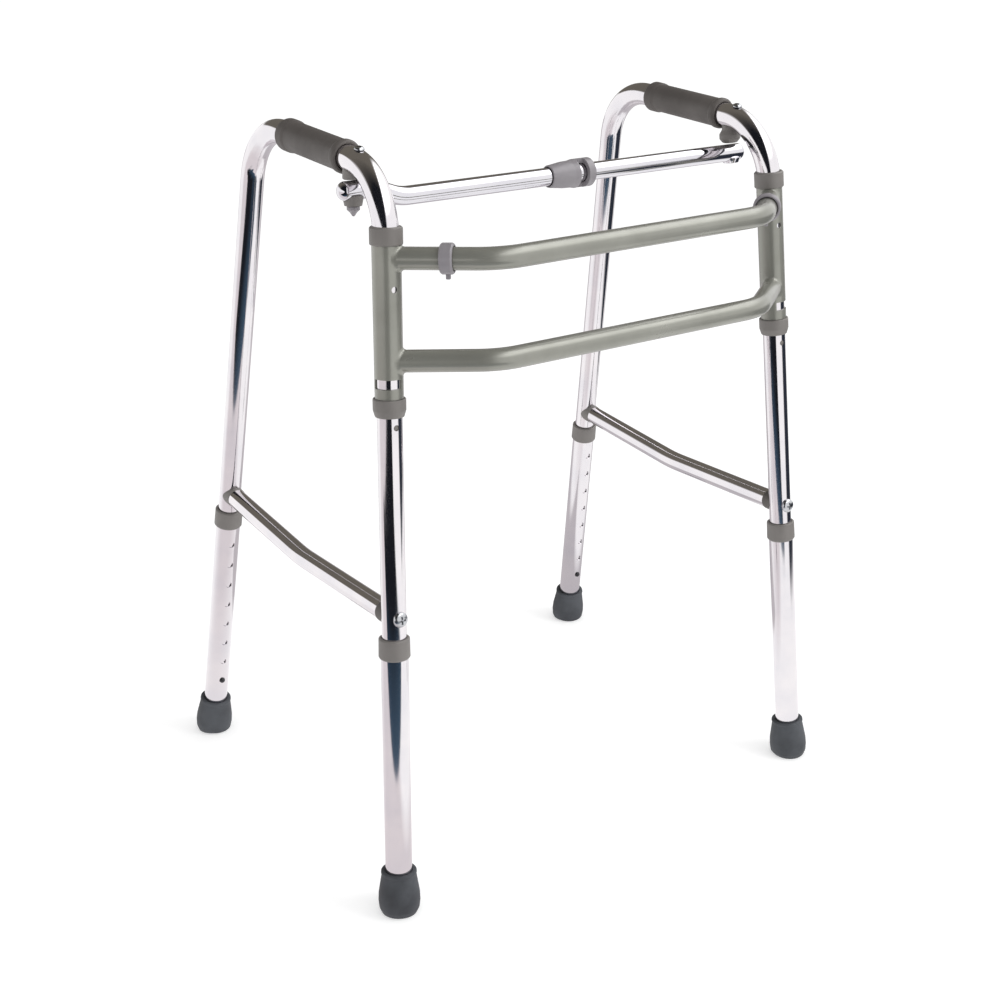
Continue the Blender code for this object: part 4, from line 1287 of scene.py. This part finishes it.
@dataclass
class Crossbar:
    """The folding crossbar: two chromed halves, their saddles and bolts, and the latch."""

    end: float = 0.017
    dome: float = 0.85
    wall: float = 0.0012
    fork: float = 0.0108
    rise_start: float = 0.052
    rise_end: float = 0.020
    rise_bend: float = 0.055
    saddle: float = 0.0215
    saddle_grip: float = 0.0045
    left_drop: float = 0.0055
    right_drop: float = 0.0015
    nut: float = 0.013
    nut_height: float = 0.0100
    rivet: float = 0.008
    bolt: float = 0.006
    latch_start: float = -0.011
    latch_end: float = 0.0434
    latch_bore: float = 0.0208
    latch_wall: float = 0.0036
    window: float = 0.0111
    ring: float = 0.0099

    def low(self, side: Side) -> float:
        """Bottom of a saddle below the centre line of the crossbar's end."""
        drop = self.left_drop if side is Side.LEFT else self.right_drop
        return -PLACES.crossbar / 2 - drop

    def half(self, side: Side) -> None:
        """Makes half of the crossbar: its tube, bent up at the left, and its domed end."""
        p = PLACES
        body = side.word + "_half_crossbar"
        radius = p.crossbar / 2
        tall = radius * self.dome
        end = p.pivot(side)
        inner = Vector((self.fork * side.value, p.pivot_y, p.pivot_height))
        dome_start = Vector((end.x + side.value * (self.end - tall), end.y, end.z))
        route = [inner, dome_start]
        if side is Side.LEFT:
            route = rounded([inner, Vector((end.x + self.rise_start, end.y, p.pivot_height)),
                             Vector((end.x + self.rise_end, end.y, end.z)), dome_start],
                            self.rise_bend, 10)
        obj = tube(side.word + "_crossbar_tube", finer(route, 0.02), p.crossbar, self.wall,
                   Finishes.CHROME)
        place_piece(obj, Finishes.CHROME, body, side.word + "_strut")
        lap = 0.0002
        cap = revolve(side.word + "_crossbar_end", [
            *dome(radius, 0, tall, 12), (radius - self.wall * 0.9, -lap), (0, -lap)],
            stand(dome_start, ACROSS * side.value, UP), 56)
        place_piece(cap, Finishes.CHROME, body)
        low, high = self.low(side), self.saddle_grip - radius
        wide = self.saddle / 2
        saddle = revolve(side.word + "_crossbar_saddle", [
            (0, high), (wide, high), (wide - 0.002, low), (0, low)],
            p.upright(side, end), 56, 0.0006)
        carve(saddle, plug(radius + p.fit, stand(end, ACROSS, UP), 56))
        place_piece(saddle, Finishes.COLLAR if side is Side.LEFT else Finishes.CHROME, body,
                    side.word + "_strut_saddle")

    def pivot_bolt(self, side: Side) -> None:
        """Makes the foot of the pivot bolt: a pointed cap at the left, a rivet at the right."""
        p = PLACES
        body = "left_side_frame" if side is Side.LEFT else "right_half_crossbar"
        low = self.low(side) - p.seat
        if side is Side.LEFT:
            wide, tall = self.nut / 2, self.nut_height
            foot = [(wide, low), (wide, low - tall * 0.35), (wide * 0.55, low - tall * 0.6),
                    (0.0012, low - tall * 0.97), (0, low - tall)]
        else:
            wide = self.rivet / 2
            foot = [(wide, low), (wide, low - 0.0004), (wide * 0.6, low - 0.0008),
                    (0, low - 0.0008)]
        bolt = revolve(side.word + "_cap_nut", [(0, 0), (self.bolt / 2, 0),
                                                (self.bolt / 2, low), *foot],
                       p.upright(side, p.pivot(side)), 40, 0.0008)
        place_piece(bolt, Finishes.CLIP if side is Side.LEFT else Finishes.ZINC, body,
                    side.word + "_pivot_bolt")

    def latch(self) -> None:
        """Makes the flared latch with its window and ring."""
        p = PLACES
        bore = self.latch_bore / 2
        small, large = bore + 0.0014, bore + self.latch_wall + 0.0012
        end = self.latch_end
        window_end = end - self.ring
        window_start = window_end - self.window
        profile = [(bore, self.latch_start), (small - 0.0004, self.latch_start),
                   (small, self.latch_start + 0.001), (small + 0.0008, -0.003),
                   (small + 0.0020, 0.006), (large - 0.0010, 0.016),
                   (large, window_start - 0.001), (large, end - 0.0018),
                   (large - 0.0016, end), (bore, end)]
        place = stand(Vector((0, p.pivot_y, p.pivot_height)), ACROSS, UP)
        obj = revolve("locking_sleeve", profile, place, 72, 0.0010)
        hole = block("window", (large * 2, large * 3, self.window), place, 0.0015,
                     (-large - 0.001, 0, (window_start + window_end) / 2))
        carve(obj, hole)
        place_piece(obj, Finishes.CLIP, "latch", "latch_sleeve")

    def build(self) -> None:
        """Makes the whole crossbar."""
        for side in Side:
            self.half(side)
            self.pivot_bolt(side)
        self.latch()


# Studio

@dataclass
class Studio:
    """Pale floor, soft light and the camera at the photograph's angle.

    Attributes of two numbers are where something that mirrors see begins and is whole: by
    height in the sky, by metres or radians on the floor.
    """

    azimuth: float = -34.41
    elevation: float = 22.24
    distance: float = 1.902
    focal: float = 57.38
    target: tuple[float, float, float] = (-0.0044, -0.0092, 0.3351)
    paper_edge: float = 0.76
    room_left: float = 1.75
    room_right: float = 0.71
    gap: float = 0.29
    mirrored: float = 1.15
    gap_edge: float = 0.06
    gap_widens: Span = (0.12, 0.32)
    gap_wider: float = 0.32
    gap_back: Span = (0.45, -0.25)
    window: float = 2.2
    window_high: Span = (0.45, 0.70)
    window_right: Span = (0.28, 0.42)
    paper_soft: float = 0.03
    room_soft: float = 0.05
    beside_turn: Span = (1.24, 1.36)
    beside_end: Span = (2.40, 2.25)
    beside_far: Span = (0.95, 1.15)
    behind: Span = (2.40, 2.60)
    front_ahead: Span = (-0.20, 0.30)
    front_right: Span = (0.16, 0.03)
    depth: Span = (0.75, 1.55)
    left_light: float = 0.55
    right_light: float = 1.05
    floor_size: float = 12.0
    floor_drop: float = 0.0004
    floor_lift: float = 0.44
    lamp_place: tuple[float, float, float] = (1.5, -1.7, 2.3)
    lamp_size: float = 1.2
    lamp_watts: float = 18.0

    @property
    def to_the_right(self) -> Vector:
        """Unit vector to the right of the photograph."""
        a = math.radians(self.azimuth)
        return Vector((math.cos(a), math.sin(a), 0))

    def toward_camera(self, elevation: float) -> Vector:
        """Unit vector to the camera, at an elevation in degrees."""
        a, e = math.radians(self.azimuth), math.radians(elevation)
        return Vector((math.sin(a) * math.cos(e), -math.cos(a) * math.cos(e), math.sin(e)))

    def camera(self) -> None:
        """Makes the camera."""
        data = bpy.data.cameras.new("Camera")
        data.lens = self.focal
        data.sensor_width = 36
        data.clip_end = 50
        camera = new_object("Camera", data)
        back = self.toward_camera(self.elevation)
        camera.location = Vector(self.target) + back * self.distance
        camera.rotation_euler = back.to_track_quat("Z", "Y").to_euler()
        bpy.context.scene.camera = camera

    def world(self) -> None:
        """Lights the scene from an even sky, brighter at the right, white behind the object.

        Mirrors see a dark gap overhead, from the camera's side over to the back.
        """
        world = bpy.data.worlds.new("Studio")
        bpy.context.scene.world = world
        tree = shading(world)
        path = add(tree, "ShaderNodeLightPath").outputs
        way = add(tree, "ShaderNodeTexCoord").outputs["Generated"]
        ahead = along(tree, way, self.toward_camera(0))
        right = along(tree, way, self.to_the_right)
        height = along(tree, way, UP)
        wider = calc(tree, "MULTIPLY", ramp(tree, height, *self.gap_widens),
                     self.gap_wider)
        aside = calc(tree, "ABSOLUTE", calc(tree, "ADD", right, wider))
        aside = calc(tree, "SUBTRACT", aside, wider)
        gap = ramp(tree, aside, self.gap + self.gap_edge, self.gap - self.gap_edge)
        overhead = tint(tree, ramp(tree, ahead, *self.gap_back), "#15171c", "#67635b")
        window = calc(tree, "MULTIPLY", ramp(tree, height, *self.window_high),
                      ramp(tree, right, *self.window_right))
        window = calc(tree, "ADD", calc(tree, "MULTIPLY", window, self.window), self.mirrored)
        side_light = ramp(tree, right, -1.0, 1.0, self.left_light, self.right_light)
        light, seen, plain = (
            add(tree, "ShaderNodeBackground", {"Color": colour, "Strength": strength})
            for colour, strength in ((linear("#ffffff"), side_light),
                                     (tint(tree, gap, "#ffffff", overhead), window),
                                     (linear("#ffffff"), 1.0)))
        glossy = add(tree, "ShaderNodeMixShader", {0: path["Is Glossy Ray"], 1: light, 2: seen})
        direct = calc(tree, "MAXIMUM", path["Is Camera Ray"], path["Is Transmission Ray"])
        mix = add(tree, "ShaderNodeMixShader", {0: direct, 1: glossy, 2: plain})
        add(tree, "ShaderNodeOutputWorld", {"Surface": mix})

    def room(self, tree: NodeTree) -> Socket:
        """Adds what mirrors see of the floor: pale paper, and a dark room past its edges."""
        place = add(tree, "ShaderNodeTexCoord").outputs["Object"]
        ahead = along(tree, place, self.toward_camera(0))
        right = along(tree, place, self.to_the_right)
        turn = calc(tree, "ARCTAN2", right, ahead)
        far = add(tree, "ShaderNodeVectorMath", {0: place}, operation="LENGTH").outputs["Value"]
        wider = calc(tree, "MULTIPLY", far, self.gap)
        dark = ramp(tree, ahead, self.paper_edge, self.paper_edge + self.paper_soft)
        for edge, sign in ((self.room_left, "ADD"), (self.room_right, "SUBTRACT")):
            inside = calc(tree, sign, calc(tree, "MAXIMUM", wider, edge), right)
            dark = calc(tree, "MULTIPLY", dark,
                        ramp(tree, inside, -self.room_soft, self.room_soft))
        beside = calc(tree, "MULTIPLY", ramp(tree, turn, *self.beside_turn),
                      ramp(tree, turn, *self.beside_end))
        beside = calc(tree, "MULTIPLY", beside, ramp(tree, far, *self.beside_far))
        behind = ramp(tree, calc(tree, "ABSOLUTE", turn), *self.behind)
        front = calc(tree, "MULTIPLY", ramp(tree, ahead, *self.front_ahead),
                     ramp(tree, right, *self.front_right))
        paper = tint(tree, front, "#ffffff", "#e0dadc")
        paper = tint(tree, behind, paper, "#c2bec1")
        paper = tint(tree, beside, paper, "#2b303a")
        depth = tint(tree, ramp(tree, far, *self.depth), "#40566a", "#16181e")
        return tint(tree, dark, paper, depth)

    def floor(self) -> None:
        """Makes the floor, which is white paper but for what mirrors see of it."""
        size = self.floor_size
        obj = from_faces("Floor", [(-size, -size, 0), (size, -size, 0), (size, size, 0),
                                   (-size, size, 0)], [(0, 1, 2, 3)])
        obj.location.z = -self.floor_drop
        # White paper, lifted so that the picture's background stays white
        material = bpy.data.materials.new("White paper")
        tree = shading(material)
        paper = add(tree, "ShaderNodeBsdfDiffuse", {"Color": linear("#e2e2e2")})
        lift = add(tree, "ShaderNodeEmission", {
            "Color": linear("#ffffff"), "Strength": self.floor_lift})
        white = add(tree, "ShaderNodeAddShader", {0: paper, 1: lift})
        room = add(tree, "ShaderNodeEmission", {
            "Color": self.room(tree), "Strength": self.mirrored})
        path = add(tree, "ShaderNodeLightPath").outputs
        mix = add(tree, "ShaderNodeMixShader", {0: path["Is Glossy Ray"], 1: white, 2: room})
        add(tree, "ShaderNodeOutputMaterial", {"Surface": mix})
        obj.data.materials.append(material)

    def lamp(self) -> None:
        """Adds a soft lamp that points at the object."""
        data = bpy.data.lights.new("Key", "AREA")
        data.shape = "DISK"
        data.size = self.lamp_size
        data.energy = self.lamp_watts
        lamp = new_object("Key", data)
        lamp.location = place = Vector(self.lamp_place)
        lamp.rotation_euler = (place - Vector(self.target)).to_track_quat("Z", "Y").to_euler()
        lamp.visible_glossy = False

    def build(self) -> None:
        """Sets the studio up."""
        self.camera()
        self.world()
        self.floor()
        self.lamp()
        bpy.context.scene.view_settings.view_transform = "Standard"


def carried_over() -> None:
    """Gives each CAD node that still shows its own finish."""
    kinds = {"aluminium": Finishes.ALUMINIUM, "chrome": Finishes.CHROME,
             "paint": Finishes.ENAMEL, "collar": Finishes.COLLAR, "grip": Finishes.GRIP,
             "rubber": Finishes.RUBBER, "black": Finishes.NYLON, "steel": Finishes.ZINC}
    for name, node in frame["nodes"].items():
        if node.hide_render:
            continue
        finish = kinds[SLOTS[name].rsplit("_", 1)[1]]
        dress(node, finish)
        LOG.info("%s keeps its solid, in %s", name, finish.name)


def main() -> None:
    """Builds the looks of the whole walking frame."""
    logging.basicConfig(level=logging.INFO, format="%(message)s")
    Studio().build()
    FrontFrame().build()
    for side in Side:
        SideFrame(side).build()
        for front in (True, False):
            LowerLeg(side, front).build()
    Crossbar().build()
    carried_over()


if __name__ == "__main__":
    main()
